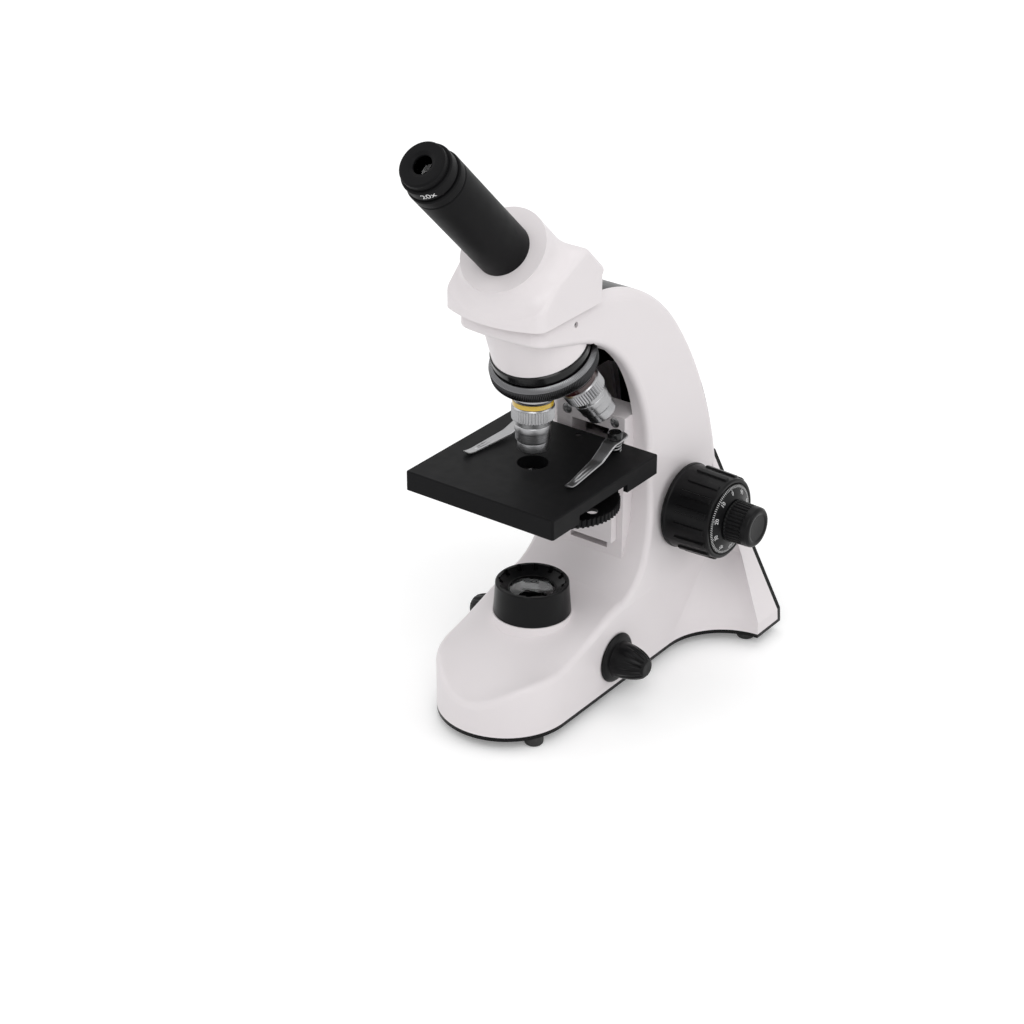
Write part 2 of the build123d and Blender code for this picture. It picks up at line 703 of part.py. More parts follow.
def base_plate_screws():
    """Screws from below, their heads sunk in the plate."""
    bottom = FOOT_HEIGHT + BASE_SCREW_SUNK
    head_top = bottom + BASE_HEAD_LENGTH
    screw = post(BASE_SCREW_HEAD, bottom, head_top) + post(BASE_SCREW_RADIUS, head_top, BASE_SCREW_TOP)
    return [Pos(x, y, 0) * screw for x, y in base_screw_places()]


def rubber_feet():
    foot = post(FOOT_RADIUS, 0, FOOT_HEIGHT)
    foot = fillet(foot.edges().sort_by(Axis.Z)[0], FOOT_ROUND)
    places = [(BASE_HALF - FOOT_FRONT_INSET, FOOT_FRONT_Y), (TAIL_HALF - FOOT_REAR_INSET, FOOT_REAR_Y)]
    return [Pos(x, y, 0) * foot for x, y in on_both_sides(places)]


def circuit_board():
    top = BOARD_Z + BOARD_THICK
    board = block(-BOARD_HALF, BOARD_HALF, BOARD_FRONT_Y, BOARD_FRONT_Y + BOARD_LENGTH, BOARD_Z, top)
    middle = BOARD_FRONT_Y + BOARD_LENGTH / 2
    board += block(-6, 6, middle - 5, middle + 5, top, top + 4)
    board += post(4.0, top, top + 8, 12, middle)
    board += post(3.0, top, top + 6, -12, middle - 6)
    return board


def rear_lean():
    """How far the flat lower back leans forward, in radians."""
    return atan2(TAIL_REAR_Y - SHOULDER_Y, SHOULDER_Z - PLATE_TOP)


def on_back(x, z):
    """A place on the back of the leg, with its local Z pointing out."""
    return Pos(x, rear_y(z), z) * Rot(degrees(rear_lean()) - 90, 0, 0)


def rear_cover_screws():
    screw = post(COVER_SCREW_HEAD, -COVER_SCREW_SUNK, 0)
    screw += post(COVER_SCREW_RADIUS, -COVER_SCREW_SUNK - COVER_SCREW_LENGTH, -COVER_SCREW_SUNK)
    places = [(TAIL_HALF - COVER_LOW_INSET, COVER_LOW_Z),
              (half_width(SHOULDER_Z) - COVER_HIGH_INSET, COVER_HIGH_Z)]
    return [on_back(x, z) * screw for x, z in on_both_sides(places)]


def power_jack():
    """A round socket, set in the cover, its mouth at the back."""
    half = JACK_BLOCK / 2
    cover = COVER_THICK * (cos(rear_lean()) + sin(rear_lean()))
    body = post(JACK_RADIUS, -JACK_DEPTH, 0) + block(-half, half, -half, half, -JACK_DEPTH, -cover)
    return on_back(JACK_X, JACK_Z) * (body - post(JACK_BORE, -JACK_BORE_DEPTH, 1.0))


def rear_cover(outside):
    cover = outside & cover_band(COVER_THICK) & cover_front_view(0.0)
    cover -= on_back(JACK_X, JACK_Z) * Cylinder(JACK_RADIUS, 2 * JACK_DEPTH)
    return cover - rear_cover_screws()


# Lamp

def lens(radius, bottom, edge, crown):
    """A plano-convex lens, flat below."""
    ball = (radius**2 + crown**2) / (2 * crown)
    top = bottom + edge + crown
    return post(radius, bottom, top) & Pos(0, 0, top - ball) * Sphere(ball)


def lamp_collar():
    lip = LAMP_TOP_RADIUS - LAMP_WALL
    step = LAMP_LENS_Z + 2.0
    inside = LAMP_FOOT_RADIUS - 4.0
    collar = spun([
        (LAMP_FOOT_RADIUS, LAMP_SEAT_TOP), (LAMP_TOP_RADIUS, LAMP_TOP - 0.6),
        (LAMP_TOP_RADIUS - 0.6, LAMP_TOP),
        (lip, LAMP_TOP), (lip, LAMP_TOP - 1.2), (LAMP_LENS_RADIUS + 0.8, step), (LAMP_LENS_RADIUS, step),
        (LAMP_LENS_RADIUS, LAMP_LENS_Z), (LAMP_LENS_RADIUS - 1.5, LAMP_LENS_Z),
        (LAMP_LENS_RADIUS - 1.5, LAMP_LENS_Z - 2.5), (inside, LAMP_LENS_Z - 2.5), (inside, LAMP_SEAT_TOP),
    ])
    notch = Pos(lip - 0.6, 0, LAMP_TOP - 1.6) * Box(2.6, 2.6, 3.2)
    for turn in range(LAMP_NOTCHES):
        collar -= Rot(0, 0, turn * 360 / LAMP_NOTCHES) * notch
    return collar


def lamp_board():
    """The board under the pad, with the light source in the middle of the bore."""
    board = post(LAMP_BORE + 2.0, LAMP_PAD_BOTTOM - BOARD_THICK, LAMP_PAD_BOTTOM)
    board += block(-3.5, 3.5, -3.5, 3.5, LAMP_PAD_BOTTOM, LAMP_PAD_BOTTOM + 1.4)
    return board + post(2.4, LAMP_PAD_BOTTOM + 1.4, LAMP_PAD_BOTTOM + 2.2)


# Side knobs

def side_knob():
    """A skirted, fluted knob with its shaft, on the +X side."""
    start = BASE_HALF + RUN_GAP
    skirt_end = start + SIDE_FLANGE_THICK
    end = BASE_HALF + SIDE_KNOB_LENGTH
    y, z = SIDE_KNOB_Y, SIDE_KNOB_Z
    knob = cone_x(SIDE_FLANGE_RADIUS, SIDE_FLANGE_RADIUS - 1.2, start, skirt_end, y, z)
    knob += cone_x(SIDE_KNOB_RADIUS, SIDE_KNOB_TIP, skirt_end, end, y, z)
    flute_lean = degrees(asin((SIDE_KNOB_RADIUS - SIDE_KNOB_TIP) / SIDE_KNOB_LENGTH))
    for turn in range(SIDE_KNOB_FLUTES):
        flute = Pos(SIDE_KNOB_LENGTH / 2, 0, SIDE_KNOB_RADIUS - 0.6) * Rot(0, 90 + flute_lean, 0)
        flute = flute * Cylinder(1.0, SIDE_KNOB_LENGTH)
        knob -= Pos(skirt_end, y, z) * Rot(turn * 360 / SIDE_KNOB_FLUTES, 0, 0) * flute
    return knob + axle(SIDE_SHAFT_RADIUS, BASE_HALF - 8.0, skirt_end, y, z)


def rotary_control():
    """The part behind a side knob: a can inside the wall, with a bush through it."""
    inner = BASE_HALF - WALL
    can = axle(8.0, inner - 9.0, inner, SIDE_KNOB_Y, SIDE_KNOB_Z)
    can += axle(SIDE_SHAFT_RADIUS + 1.0, inner, BASE_HALF, SIDE_KNOB_Y, SIDE_KNOB_Z)
    return can - axle(SIDE_SHAFT_RADIUS + SHAFT_GAP, inner - 6.0, BASE_HALF + 1, SIDE_KNOB_Y, SIDE_KNOB_Z)


# Slide guide and stage

def slide_guide():
    guide = block(-SLOT_HALF, SLOT_HALF, GUIDE_FRONT_Y, GUIDE_FRONT_Y + GUIDE_THICK, GUIDE_BOTTOM, GUIDE_TOP)
    return guide - block(-WINDOW_HALF, WINDOW_HALF, 0, REACH, WINDOW_BOTTOM, GUIDE_TOP + 1)


def guide_cap():
    cap = block(-SLOT_HALF, SLOT_HALF, GUIDE_FRONT_Y, GUIDE_FRONT_Y + GUIDE_THICK, GUIDE_TOP, GUIDE_CAP_TOP)
    counterbore = post(GUIDE_COUNTERBORE, -1.0, GUIDE_SCREW_SUNK + GUIDE_HEAD_LENGTH)
    for place in guide_screw_places():
        cap -= place * counterbore
    return cap - guide_screws()


def guide_screw_places():
    """The two screw places on the cap's front, with their local Z pointing in."""
    height = (GUIDE_TOP + GUIDE_CAP_TOP) / 2
    return [Pos(x, GUIDE_FRONT_Y, height) * Rot(-90, 0, 0) for x in (-GUIDE_SCREW_X, GUIDE_SCREW_X)]


def guide_screws():
    """Screws through the cap into the bridge behind it, their heads sunk."""
    head_end = GUIDE_SCREW_SUNK + GUIDE_HEAD_LENGTH
    screw = post(GUIDE_SCREW_HEAD, GUIDE_SCREW_SUNK, head_end)
    screw += post(GUIDE_SCREW_RADIUS, head_end, head_end + GUIDE_SCREW_LENGTH)
    return [place * screw for place in guide_screw_places()]


def carriage():
    """A slider in the guide's window, with a flange behind the guide and a plate before it."""
    back = GUIDE_FRONT_Y + GUIDE_THICK + SLIDE_GAP
    flange_back = back + CARRIAGE_FLANGE_THICK
    half = WINDOW_HALF - SLIDE_GAP
    slider = block(-half, half, CARRIAGE_FRONT_Y, flange_back, CARRIAGE_BOTTOM, SKIRT_BOTTOM)
    slider += block(-CARRIAGE_HALF, CARRIAGE_HALF, CARRIAGE_FRONT_Y, GUIDE_FRONT_Y - SLIDE_GAP,
                    CARRIAGE_PLATE_BOTTOM, SKIRT_BOTTOM)
    return slider + block(-CARRIAGE_HALF, CARRIAGE_HALF, back, flange_back, CARRIAGE_BOTTOM, SKIRT_BOTTOM)


def stage_bracket():
    bottom = SKIRT_BOTTOM - BRACKET_THICK
    inner = HALF_STAGE - STAGE_WALL
    arm = block(-BRACKET_HALF, BRACKET_HALF, BRACKET_FRONT_Y, CARRIAGE_FRONT_Y, bottom, SKIRT_BOTTOM)
    arm += block(-BRACKET_HALF, BRACKET_HALF, BRACKET_FRONT_Y, inner, SKIRT_BOTTOM, STAGE_UNDER)
    return arm - stage_screw()


def stage_screw():
    top = STAGE_TOP - STAGE_SCREW_SUNK
    head = top - STAGE_SCREW_DEPTH
    screw = post(STAGE_SCREW_HEAD, head, top) + post(STAGE_SCREW_RADIUS, SKIRT_BOTTOM, head)
    return Pos(0, STAGE_SCREW_Y, 0) * screw


def stage_plate():
    half = HALF_STAGE
    inner = half - STAGE_WALL
    plate = block(-half, half, -half, half, SKIRT_BOTTOM, STAGE_TOP)
    plate = fillet(plate.edges().filter_by(Axis.Z), 1.2)
    plate = fillet(plate.faces().sort_by(Axis.Z)[-1].edges(), STAGE_EDGE_ROUND)
    plate -= block(-inner, inner, -inner, inner, SKIRT_BOTTOM - 1, STAGE_UNDER)
    plate += post(DISC_BOSS_RADIUS, DISC_TOP + RUN_GAP, STAGE_UNDER, DISC_X, DISC_Y)
    notch_top = SKIRT_BOTTOM + NOTCH_DEPTH
    plate -= block(inner - 1, half + 1, NOTCH_FRONT_Y, NOTCH_BACK_Y, SKIRT_BOTTOM - 1, notch_top)
    plate -= post(STAGE_HOLE, 0, REACH)
    plate -= diaphragm_screw()
    plate -= stage_screw()
    plate -= post(STAGE_SCREW_HEAD, STAGE_TOP - STAGE_SCREW_SUNK, REACH, 0, STAGE_SCREW_Y)
    return plate - clip_posts()


def condenser_cell():
    """The short tube under the stage hole that holds the condenser lens."""
    cell = post(CELL_RADIUS, DISC_TOP + CELL_GAP, STAGE_UNDER)
    cell -= post(STAGE_HOLE, STAGE_UNDER - 6.0, STAGE_UNDER + 1)
    return cell - post(STAGE_HOLE - 1.2, 0, STAGE_UNDER)


def condenser_lens():
    return lens(STAGE_HOLE, STAGE_UNDER - 6.0, 3.5, 3.0)


def disc_outline():
    """A toothed edge, one tooth after the other."""
    points = []
    for tooth in range(DISC_TEETH):
        for share, radius in ((0.0, DISC_RADIUS - DISC_TOOTH), (0.3, DISC_RADIUS - DISC_TOOTH),
                              (0.5, DISC_RADIUS), (0.8, DISC_RADIUS)):
            angle = 2 * pi * (tooth + share) / DISC_TEETH
            points.append((radius * cos(angle), radius * sin(angle)))
    return make_face(Polyline(*points, close=True))


def diaphragm_disc():
    disc = extrude(disc_outline(), amount=DISC_THICK)
    disc -= Pos(0, 0, DISC_THICK / 2 - 1.6) * Cylinder(DISC_RADIUS - 3.0, DISC_THICK) - Cylinder(5.0, 20)
    disc -= Cylinder(DISC_SCREW_RADIUS + SHAFT_GAP, 20)
    circle = sqrt(DISC_X**2 + DISC_Y**2)
    first = degrees(atan2(-DISC_Y, -DISC_X))
    for number, radius in enumerate(DISC_HOLES):
        disc -= Rot(0, 0, first + number * 360 / len(DISC_HOLES)) * Pos(circle, 0, 0) * Cylinder(radius, 20)
    return Pos(DISC_X, DISC_Y, DISC_TOP - DISC_THICK) * disc


def diaphragm_screw():
    bottom = DISC_TOP - DISC_THICK - RUN_GAP
    shank = post(DISC_SCREW_RADIUS, bottom, STAGE_UNDER - 2.0, DISC_X, DISC_Y)
    return shank + post(DISC_SCREW_HEAD, bottom - 2.2, bottom, DISC_X, DISC_Y)


# Specimen clips

def clip_posts():
    posts = []
    for x in (CLIP_POST_X, -CLIP_POST_X):
        cap = post(POST_CAP_RADIUS, CLIP_HIGH + CLIP_THICK + 0.2, POST_TOP, x, CLIP_POST_Y)
        cap = chamfer(cap.edges().sort_by(Axis.Z)[-1], 0.6)
        posts.append(cap + post(POST_RADIUS, STAGE_UNDER, POST_TOP - 1.0, x, CLIP_POST_Y))
    return posts


def clip_spring(x):
    """One wire wound up round the post, quarter turn by quarter turn."""
    bottom = STAGE_TOP + SPRING_WIRE / 2 + 0.02
    top = CLIP_HIGH - SPRING_WIRE / 2 - 0.15
    steps = SPRING_TURNS * QUARTERS
    rise = (top - bottom) / (2 * pi * SPRING_TURNS)

    def place(step):
        angle = 2 * pi * step / QUARTERS
        y = CLIP_POST_Y + SPRING_RADIUS * sin(angle)
        return Vector(x + SPRING_RADIUS * cos(angle), y, bottom + rise * angle)

    def way(step):
        angle = 2 * pi * step / QUARTERS
        return Vector(-SPRING_RADIUS * sin(angle), SPRING_RADIUS * cos(angle), rise)

    arcs = []
    for step in range(steps):
        arcs += biarc(place(step), way(step), place(step + 1), way(step + 1))
    path = Wire(arcs)
    section = Plane(origin=place(0), z_dir=way(0)) * Circle(SPRING_WIRE / 2)
    pitch = 2 * pi * rise * cos(rise / SPRING_RADIUS)
    gap = round(pitch - SPRING_WIRE, 2)
    print("clip spring: least gap to itself", gap, "mm, wire", round(path.length, 1), "mm")
    return sweep(section, path=path)


def clip():
    """The +X clip, drawn along its own length and then set at its post."""
    run = Vector(CLIP_TIP_X - CLIP_POST_X, CLIP_TIP_Y - CLIP_POST_Y)
    length = run.length
    under = [
        (-CLIP_TAIL, CLIP_HIGH),
        (CLIP_BEND, CLIP_HIGH),
        (CLIP_LANDING, CLIP_LOW + 1.2),
        (length - CLIP_BEND, CLIP_LOW - 0.3),
        (length, CLIP_LOW + 0.6),
    ]
    over = [(u, z + CLIP_THICK) for u, z in reversed(under)]
    strip = extrude(Plane.XZ * make_face(Polyline(*under, *over, close=True)), amount=CLIP_WIDTH, both=True)
    wide = CLIP_WIDTH / 2
    slim = CLIP_TIP_WIDTH / 2
    plan = make_face([
        ThreePointArc((0, wide), (-CLIP_TAIL, 0), (0, -wide)),
        Line((0, -wide), (CLIP_LANDING, -wide)),
        Line((CLIP_LANDING, -wide), (length - slim, -slim)),
        ThreePointArc((length - slim, -slim), (length, 0), (length - slim, slim)),
        Line((length - slim, slim), (CLIP_LANDING, wide)),
        Line((CLIP_LANDING, wide), (0, wide)),
    ])
    shape = strip & extrude(plan, amount=REACH)
    shape -= Cylinder(POST_RADIUS + SHAFT_GAP, 2 * REACH)
    heading = degrees(atan2(run.Y, run.X))
    return Pos(CLIP_POST_X, CLIP_POST_Y, 0) * Rot(0, 0, heading) * shape


# Nosepiece

def light_path(radius):
    """The clear way down the optical axis, through the nosepiece."""
    return post(radius, APEX_Z - 30.0, LIMB_TOP)


def at_objective(number, shape):
    """A shape drawn along Z, set on the axis of one objective."""
    return NOSE * Rot(0, 0, number * 360 / OBJECTIVE_COUNT) * Rot(-NOSE_TILT, 0, 0) * shape


def nosepiece_mount(outside):
    mount = NOSE * post(MOUNT_RADIUS, -MOUNT_END, MOUNT_END)
    mount &= block(-REACH, REACH, -REACH, REACH, 0, LIMB_FRONT_UNDER)
    return mount - outside - light_path(LIGHT_RADIUS + 6.0)


def nosepiece_race():
    race = NOSE * spun([(0, MOUNT_END), (RACE_RADIUS - 0.8, MOUNT_END), (RACE_RADIUS, MOUNT_END + 0.8),
                        (RACE_RADIUS, RACE_END - 2.2), (RACE_RADIUS - 1.0, RACE_END - 1.8),
                        (RACE_RADIUS - 1.0, RACE_END), (0, RACE_END)])
    return race - turret_stud() - light_path(LIGHT_RADIUS)


def seat_height(radius):
    """How far the turret's slanted seats are from the apex, along its axis."""
    return (SEAT_DISTANCE - radius * sin(radians(NOSE_TILT))) / cos(radians(NOSE_TILT))


def turret_stud():
    top = seat_height(0) + RUN_GAP
    start = RACE_END - 4.0
    stud = spun([(0, start), (STUD_RADIUS, start), (STUD_RADIUS, top), (STUD_HEAD, top),
                 (STUD_HEAD, top + 1.6), (STUD_HEAD - 0.6, top + 2.2), (0, top + 2.2)])
    return NOSE * stud


def turret():
    start = RACE_END + RUN_GAP
    bore = STUD_RADIUS + SHAFT_GAP
    rim = TURRET_RADIUS - 1.2
    body = NOSE * spun([(bore, start), (TURRET_RADIUS - 2.0, start), (TURRET_RADIUS, start + 1.8),
                        (TURRET_RADIUS, TURRET_RING_END), (rim, seat_height(rim)), (bore, seat_height(bore))])
    for number in range(OBJECTIVE_COUNT):
        body -= at_objective(number, post(LIGHT_RADIUS + 0.8, 0, SEAT_DISTANCE))
        body -= at_objective(number, post(THREAD_RADIUS, SEAT_DISTANCE - THREAD_LENGTH, SEAT_DISTANCE + 3.0))
    return body


def objective(number, length, tip_radius, tip_length):
    """One objective: thread, neck, grip, barrel and nose, with a clear way through."""
    barrel_end = length - tip_length
    groove = (GRIP_END + barrel_end) / 2
    shape = spun([
        (0, SEAT_DISTANCE - THREAD_LENGTH), (THREAD_RADIUS, SEAT_DISTANCE - THREAD_LENGTH),
        (THREAD_RADIUS, SEAT_DISTANCE), (BAND_RADIUS - 0.9, SEAT_DISTANCE), (BAND_RADIUS - 0.9, BAND_START),
        (BAND_RADIUS - 0.5, BAND_START), (BAND_RADIUS - 0.5, BAND_START + BAND_LENGTH),
        (BAND_RADIUS, BAND_START + BAND_LENGTH), (GRIP_RADIUS, GRIP_START), (GRIP_RADIUS, GRIP_END - 0.5),
        (BARREL_RADIUS, GRIP_END), (BARREL_RADIUS, groove - 0.4), (BARREL_RADIUS - 0.3, groove),
        (BARREL_RADIUS, groove + 0.4), (BARREL_RADIUS, barrel_end - 0.5), (BARREL_RADIUS - 0.5, barrel_end),
        (tip_radius, barrel_end), (tip_radius, length - 0.8), (tip_radius - 0.8, length), (0, length),
    ])
    shape -= post(LENS_RADIUS - 0.8, 0, REACH)
    shape -= post(LENS_RADIUS, length - 2.4, REACH)
    return at_objective(number, shape)


def objective_band(number):
    ring = post(BAND_RADIUS, BAND_START, BAND_START + BAND_LENGTH)
    return at_objective(number, ring - post(BAND_RADIUS - 0.5, 0, REACH))


def objective_lenses():
    return [
        at_objective(number, Pos(0, 0, length - 2.4) * lens(LENS_RADIUS, 0, 0.6, 0.8))
        for number, length in ((0, MID_LENGTH), (1, HIGH_LENGTH), (2, LOW_LENGTH))
    ]


# Head

def head_side():
    """Side view of the lower head, drawn with Y across and Z up."""
    return make_face(Polyline(
        (HEAD_BACK_Y, HEAD_BOTTOM),
        (HEAD_BACK_Y, HEAD_WALL_Z),
        (HEAD_PEAK_Y, HEAD_PEAK_Z),
        (HEAD_RIDGE_Y, HEAD_RIDGE_Z),
        (HEAD_BROW_Y, HEAD_BROW_Z),
        (HEAD_FRONT_Y, HEAD_CHIN_Z),
        (HEAD_FRONT_Y, HEAD_BOTTOM),
        close=True,
    ))


def head_block(side, inset):
    """A side view of the head between its two sides, bowed and round in front."""
    half = HEAD_HALF - inset
    solid = across(side, half) & bowed_front(half, HEAD_CORNER_Y + inset, HEAD_FRONT_Y + inset)
    return fillet(front_uprights(solid, HEAD_CORNER_Y + inset), HEAD_CORNER - inset)


def soft_head():
    """The lower head with its brow, ridge, back and sides rounded."""
    solid = head_block(head_side(), 0.0)
    bends = (
        (HEAD_BROW_Y, HEAD_BROW_Z, HEAD_BROW_ROUND),
        (HEAD_RIDGE_Y, HEAD_RIDGE_Z, HEAD_RIDGE_ROUND),
        (HEAD_PEAK_Y, HEAD_PEAK_Z, HEAD_EDGE_ROUND),
    )
    for y, z, radius in bends:
        solid = fillet(solid.edges().sort_by_distance((0, y, z))[0], radius)
    sides = [edge for edge in solid.edges() if abs(edge.center().X) > HEAD_HALF / 2
             and edge.center().Z > HEAD_WALL_Z and abs(edge.tangent_at(0.5).X) < 0.75 and edge.length > 2.0]
    return fillet(sides, HEAD_EDGE_ROUND)


def head_boss(radius, end):
    """A cylinder along the tube, from the crossing up, cut level at the head's bottom."""
    above = block(-REACH, REACH, -REACH, REACH, HEAD_BOTTOM, 2 * REACH)
    return TUBE * post(radius, 0, end) & above


def from_tube_axis(point):
    """How far a point is from the eyepiece tube's axis, and how far along it."""
    along = (point - TUBE.origin).dot(TUBE.z_dir)
    return (point - TUBE.origin - TUBE.z_dir * along).length, along


def blended_head():
    """The lower head and its boss, with a soft hollow where they meet."""
    solid = soft_head() + head_boss(BOSS_RADIUS, BOSS_END)
    seams = []
    for edge in solid.edges().filter_by(GeomType.LINE, reverse=True):
        places = [from_tube_axis(edge.position_at(share)) for share in (0.0, 0.5, 1.0)]
        on_boss = all(abs(away - BOSS_RADIUS) < 0.05 for away, along in places)
        below_rim = any(along < BOSS_END - 0.05 for away, along in places)
        if on_boss and below_rim and edge.center().Y < HEAD_BACK_Y - WALL:
            seams.append(edge)
    return fillet(seams, HEAD_BLEND_ROUND)


def head_shell():
    shell = blended_head()
    floor = HEAD_BOTTOM + HEAD_FLOOR
    hollow = head_block(offset(head_side(), amount=-WALL), WALL)
    hollow += head_boss(BOSS_RADIUS - WALL, BOSS_END - HEAD_FLOOR)
    shell -= hollow & block(-REACH, REACH, -REACH, REACH, floor, 2 * REACH)
    shell -= TUBE * Pos(0, 0, REACH / 2) * Cylinder(TUBE_RADIUS, REACH)
    shell += post(SPIGOT_RADIUS, LIMB_TOP - SPIGOT_DEPTH, floor)
    return shell - post(SPIGOT_RADIUS - 5.0, 0, floor)


def prism():
    """A block that bends the light from upright to the tube's lean."""
    floor = HEAD_BOTTOM + HEAD_FLOOR
    wide = HEAD_BACK_Y - WALL - 0.5
    side = make_face(Polyline((-wide, floor), (wide, floor), (wide, floor + 8.0), (4.0, floor + 17.0),
                              (-8.0, floor + 5.0), (-wide, floor + 5.0), close=True))
    return across(side, 11.0)


def eyepiece_tube():
    tube = Pos(0, 0, (TUBE_START + TUBE_END) / 2) * Cylinder(TUBE_RADIUS, TUBE_END - TUBE_START)
    return TUBE * (tube - Cylinder(TUBE_BORE, 3 * REACH))


def eyepiece_barrel():
    start = TUBE_END - EYE_BARREL
    outer = TUBE_BORE - SHAFT_GAP
    inner = outer - 1.6
    seat = TUBE_END + RUN_GAP
    return TUBE * spun([
        (inner, start), (outer, start), (outer, seat), (TUBE_RADIUS, seat),
        (TUBE_RADIUS, EYE_SHOULDER_END - 0.3), (EYE_RING_RADIUS, EYE_SHOULDER_END),
        (EYE_RING_RADIUS, EYE_RING_END - 0.4), (EYE_RING_RADIUS - 0.4, EYE_RING_END),
        (inner, EYE_RING_END),
    ])


def eyepiece_cap():
    return TUBE * spun([
        (EYE_HOLE + 3.0, EYE_RING_END), (EYE_CAP_RADIUS, EYE_RING_END), (EYE_CAP_RADIUS, EYE_CAP_END - 0.8),
        (EYE_CAP_RADIUS - 0.8, EYE_CAP_END), (EYE_HOLE + 0.8, EYE_CAP_END), (EYE_HOLE, EYE_CAP_END - 0.8),
        (EYE_HOLE, EYE_CAP_END - 2.2), (EYE_HOLE + 3.0, EYE_CAP_END - 2.2),
    ])


def eye_lens():
    return TUBE * lens(TUBE_BORE - SHAFT_GAP - 1.6, EYE_RING_END - 4.4, 2.8, 1.2)


def field_lens():
    return TUBE * lens(TUBE_BORE - SHAFT_GAP - 1.6, TUBE_END - EYE_BARREL + 2.0, 2.0, 2.0)


def head_clamp_screw():
    return axle(CLAMP_RADIUS, SPIGOT_RADIUS + SHAFT_GAP + 0.2, half_width(CLAMP_Z) - 1.5, 0, CLAMP_Z)


# Focus drive

def gear_points(teeth, tooth_angle):
    """Outline of a spur gear with one tooth at the angle given, in degrees."""
    pitch = GEAR_MODULE * teeth / 2
    tip = pitch + ADDENDUM * GEAR_MODULE
    root = pitch - DEDENDUM * GEAR_MODULE
    base = pitch * cos(radians(PRESSURE))

    def spread(radius):
        slant = acos(min(1.0, base / radius))
        return tan(slant) - slant

    half = pi / (2 * teeth) - TOOTH_EASE / (2 * pitch) + spread(pitch)
    start = max(base, root)
    flank = [start + (tip - start) * step / 4 for step in range(5)]
    rising = [(root, -half)] * (root < base) + [(radius, spread(radius) - half) for radius in flank]
    falling = [(radius, -angle) for radius, angle in reversed(rising)]
    points = []
    for tooth in range(teeth):
        middle = radians(tooth_angle) + 2 * pi * tooth / teeth
        points += [(r * cos(middle + a), r * sin(middle + a)) for r, a in rising + falling]
    return points


def gear(teeth, tooth_angle, x0, x1, y, z):
    """A gear on an axis along X, its angles from +Y towards +Z."""
    outline = Plane.YZ * make_face(Polyline(*gear_points(teeth, tooth_angle), close=True))
    return Pos(x0, y, z) * extrude(outline, amount=x1 - x0)


def rack():
    """Teeth that face the pinion, with one gap at the shaft's height, on a neck from the carriage."""
    pitch_y = SHAFT_Y - GEAR_MODULE * RACK_PINION_TEETH / 2
    step = pi * GEAR_MODULE
    lean = tan(radians(PRESSURE))
    half = step / 4 - TOOTH_EASE / 2
    tip = ADDENDUM * GEAR_MODULE
    root = DEDENDUM * GEAR_MODULE
    back = GUIDE_FRONT_Y + GUIDE_THICK + SLIDE_GAP + CARRIAGE_FLANGE_THICK
    below = int((STAGE_UP + 5.0) / step) + 1
    above = int((STAGE_DOWN + 5.0) / step) + 1
    points = [(back, SHAFT_Z - below * step)]
    for tooth in range(-below, above):
        middle = SHAFT_Z + (tooth + 0.5) * step
        points += [(pitch_y - root, middle - half - root * lean), (pitch_y + tip, middle - half + tip * lean),
                   (pitch_y + tip, middle + half - tip * lean), (pitch_y - root, middle + half + root * lean)]
    points.append((back, SHAFT_Z + above * step))
    return across(make_face(Polyline(*points, close=True)), RACK_HALF)


def right_sleeve():
    """The coarse shaft on the +X side, with the rack pinion and its gear."""
    sleeve = axle(SLEEVE_RADIUS, -RACK_HALF - 1.0, COARSE_OUTER_X - DIAL_THICK - 0.5, SHAFT_Y, SHAFT_Z)
    sleeve += gear(RACK_PINION_TEETH, 180.0, -RACK_HALF, RACK_HALF, SHAFT_Y, SHAFT_Z)
    sleeve += sleeve_gear(RIGHT_GEAR_X)
    return sleeve - shaft_bore()


def left_sleeve():
    inner = LEFT_GEAR_X + GEAR_WIDTH + 0.5
    sleeve = axle(SLEEVE_RADIUS, inner, -COARSE_OUTER_X + DIAL_THICK + 0.5, SHAFT_Y, SHAFT_Z)
    return sleeve + sleeve_gear(LEFT_GEAR_X) - shaft_bore()


def sleeve_gear(x):
    return gear(LARGE_TEETH, COUNTER_ANGLE + 180.0 / LARGE_TEETH, x, x + GEAR_WIDTH, SHAFT_Y, SHAFT_Z)


def shaft_bore():
    return axle(FINE_RADIUS + SHAFT_GAP, -REACH, REACH, SHAFT_Y, SHAFT_Z)


def fine_shaft():
    shaft = axle(FINE_RADIUS, -FINE_OUTER_X + 2.0, FINE_OUTER_X - 2.0, SHAFT_Y, SHAFT_Z)
    return shaft + gear(SMALL_TEETH, COUNTER_ANGLE, FINE_GEAR_X, FINE_GEAR_X + GEAR_WIDTH, SHAFT_Y, SHAFT_Z)


def counter_gear():
    """The gear between the fine shaft and both sleeves, turning on its pin."""
    y, z = counter_place()
    cluster = axle(COUNTER_PIN_RADIUS + 1.5, LEFT_GEAR_X, RIGHT_GEAR_X + GEAR_WIDTH, y, z)
    facing = COUNTER_ANGLE + 180.0
    cluster += gear(LARGE_TEETH, facing + 180.0 / LARGE_TEETH, FINE_GEAR_X, FINE_GEAR_X + GEAR_WIDTH, y, z)
    for x in (LEFT_GEAR_X, RIGHT_GEAR_X):
        cluster += gear(SMALL_TEETH, facing, x, x + GEAR_WIDTH, y, z)
    return cluster - axle(COUNTER_PIN_RADIUS + SHAFT_GAP, -REACH, REACH, y, z)


def counter_pin():
    y, z = counter_place()
    reach = half_width(z) - WALL
    return axle(COUNTER_PIN_RADIUS, -reach, reach, y, z)


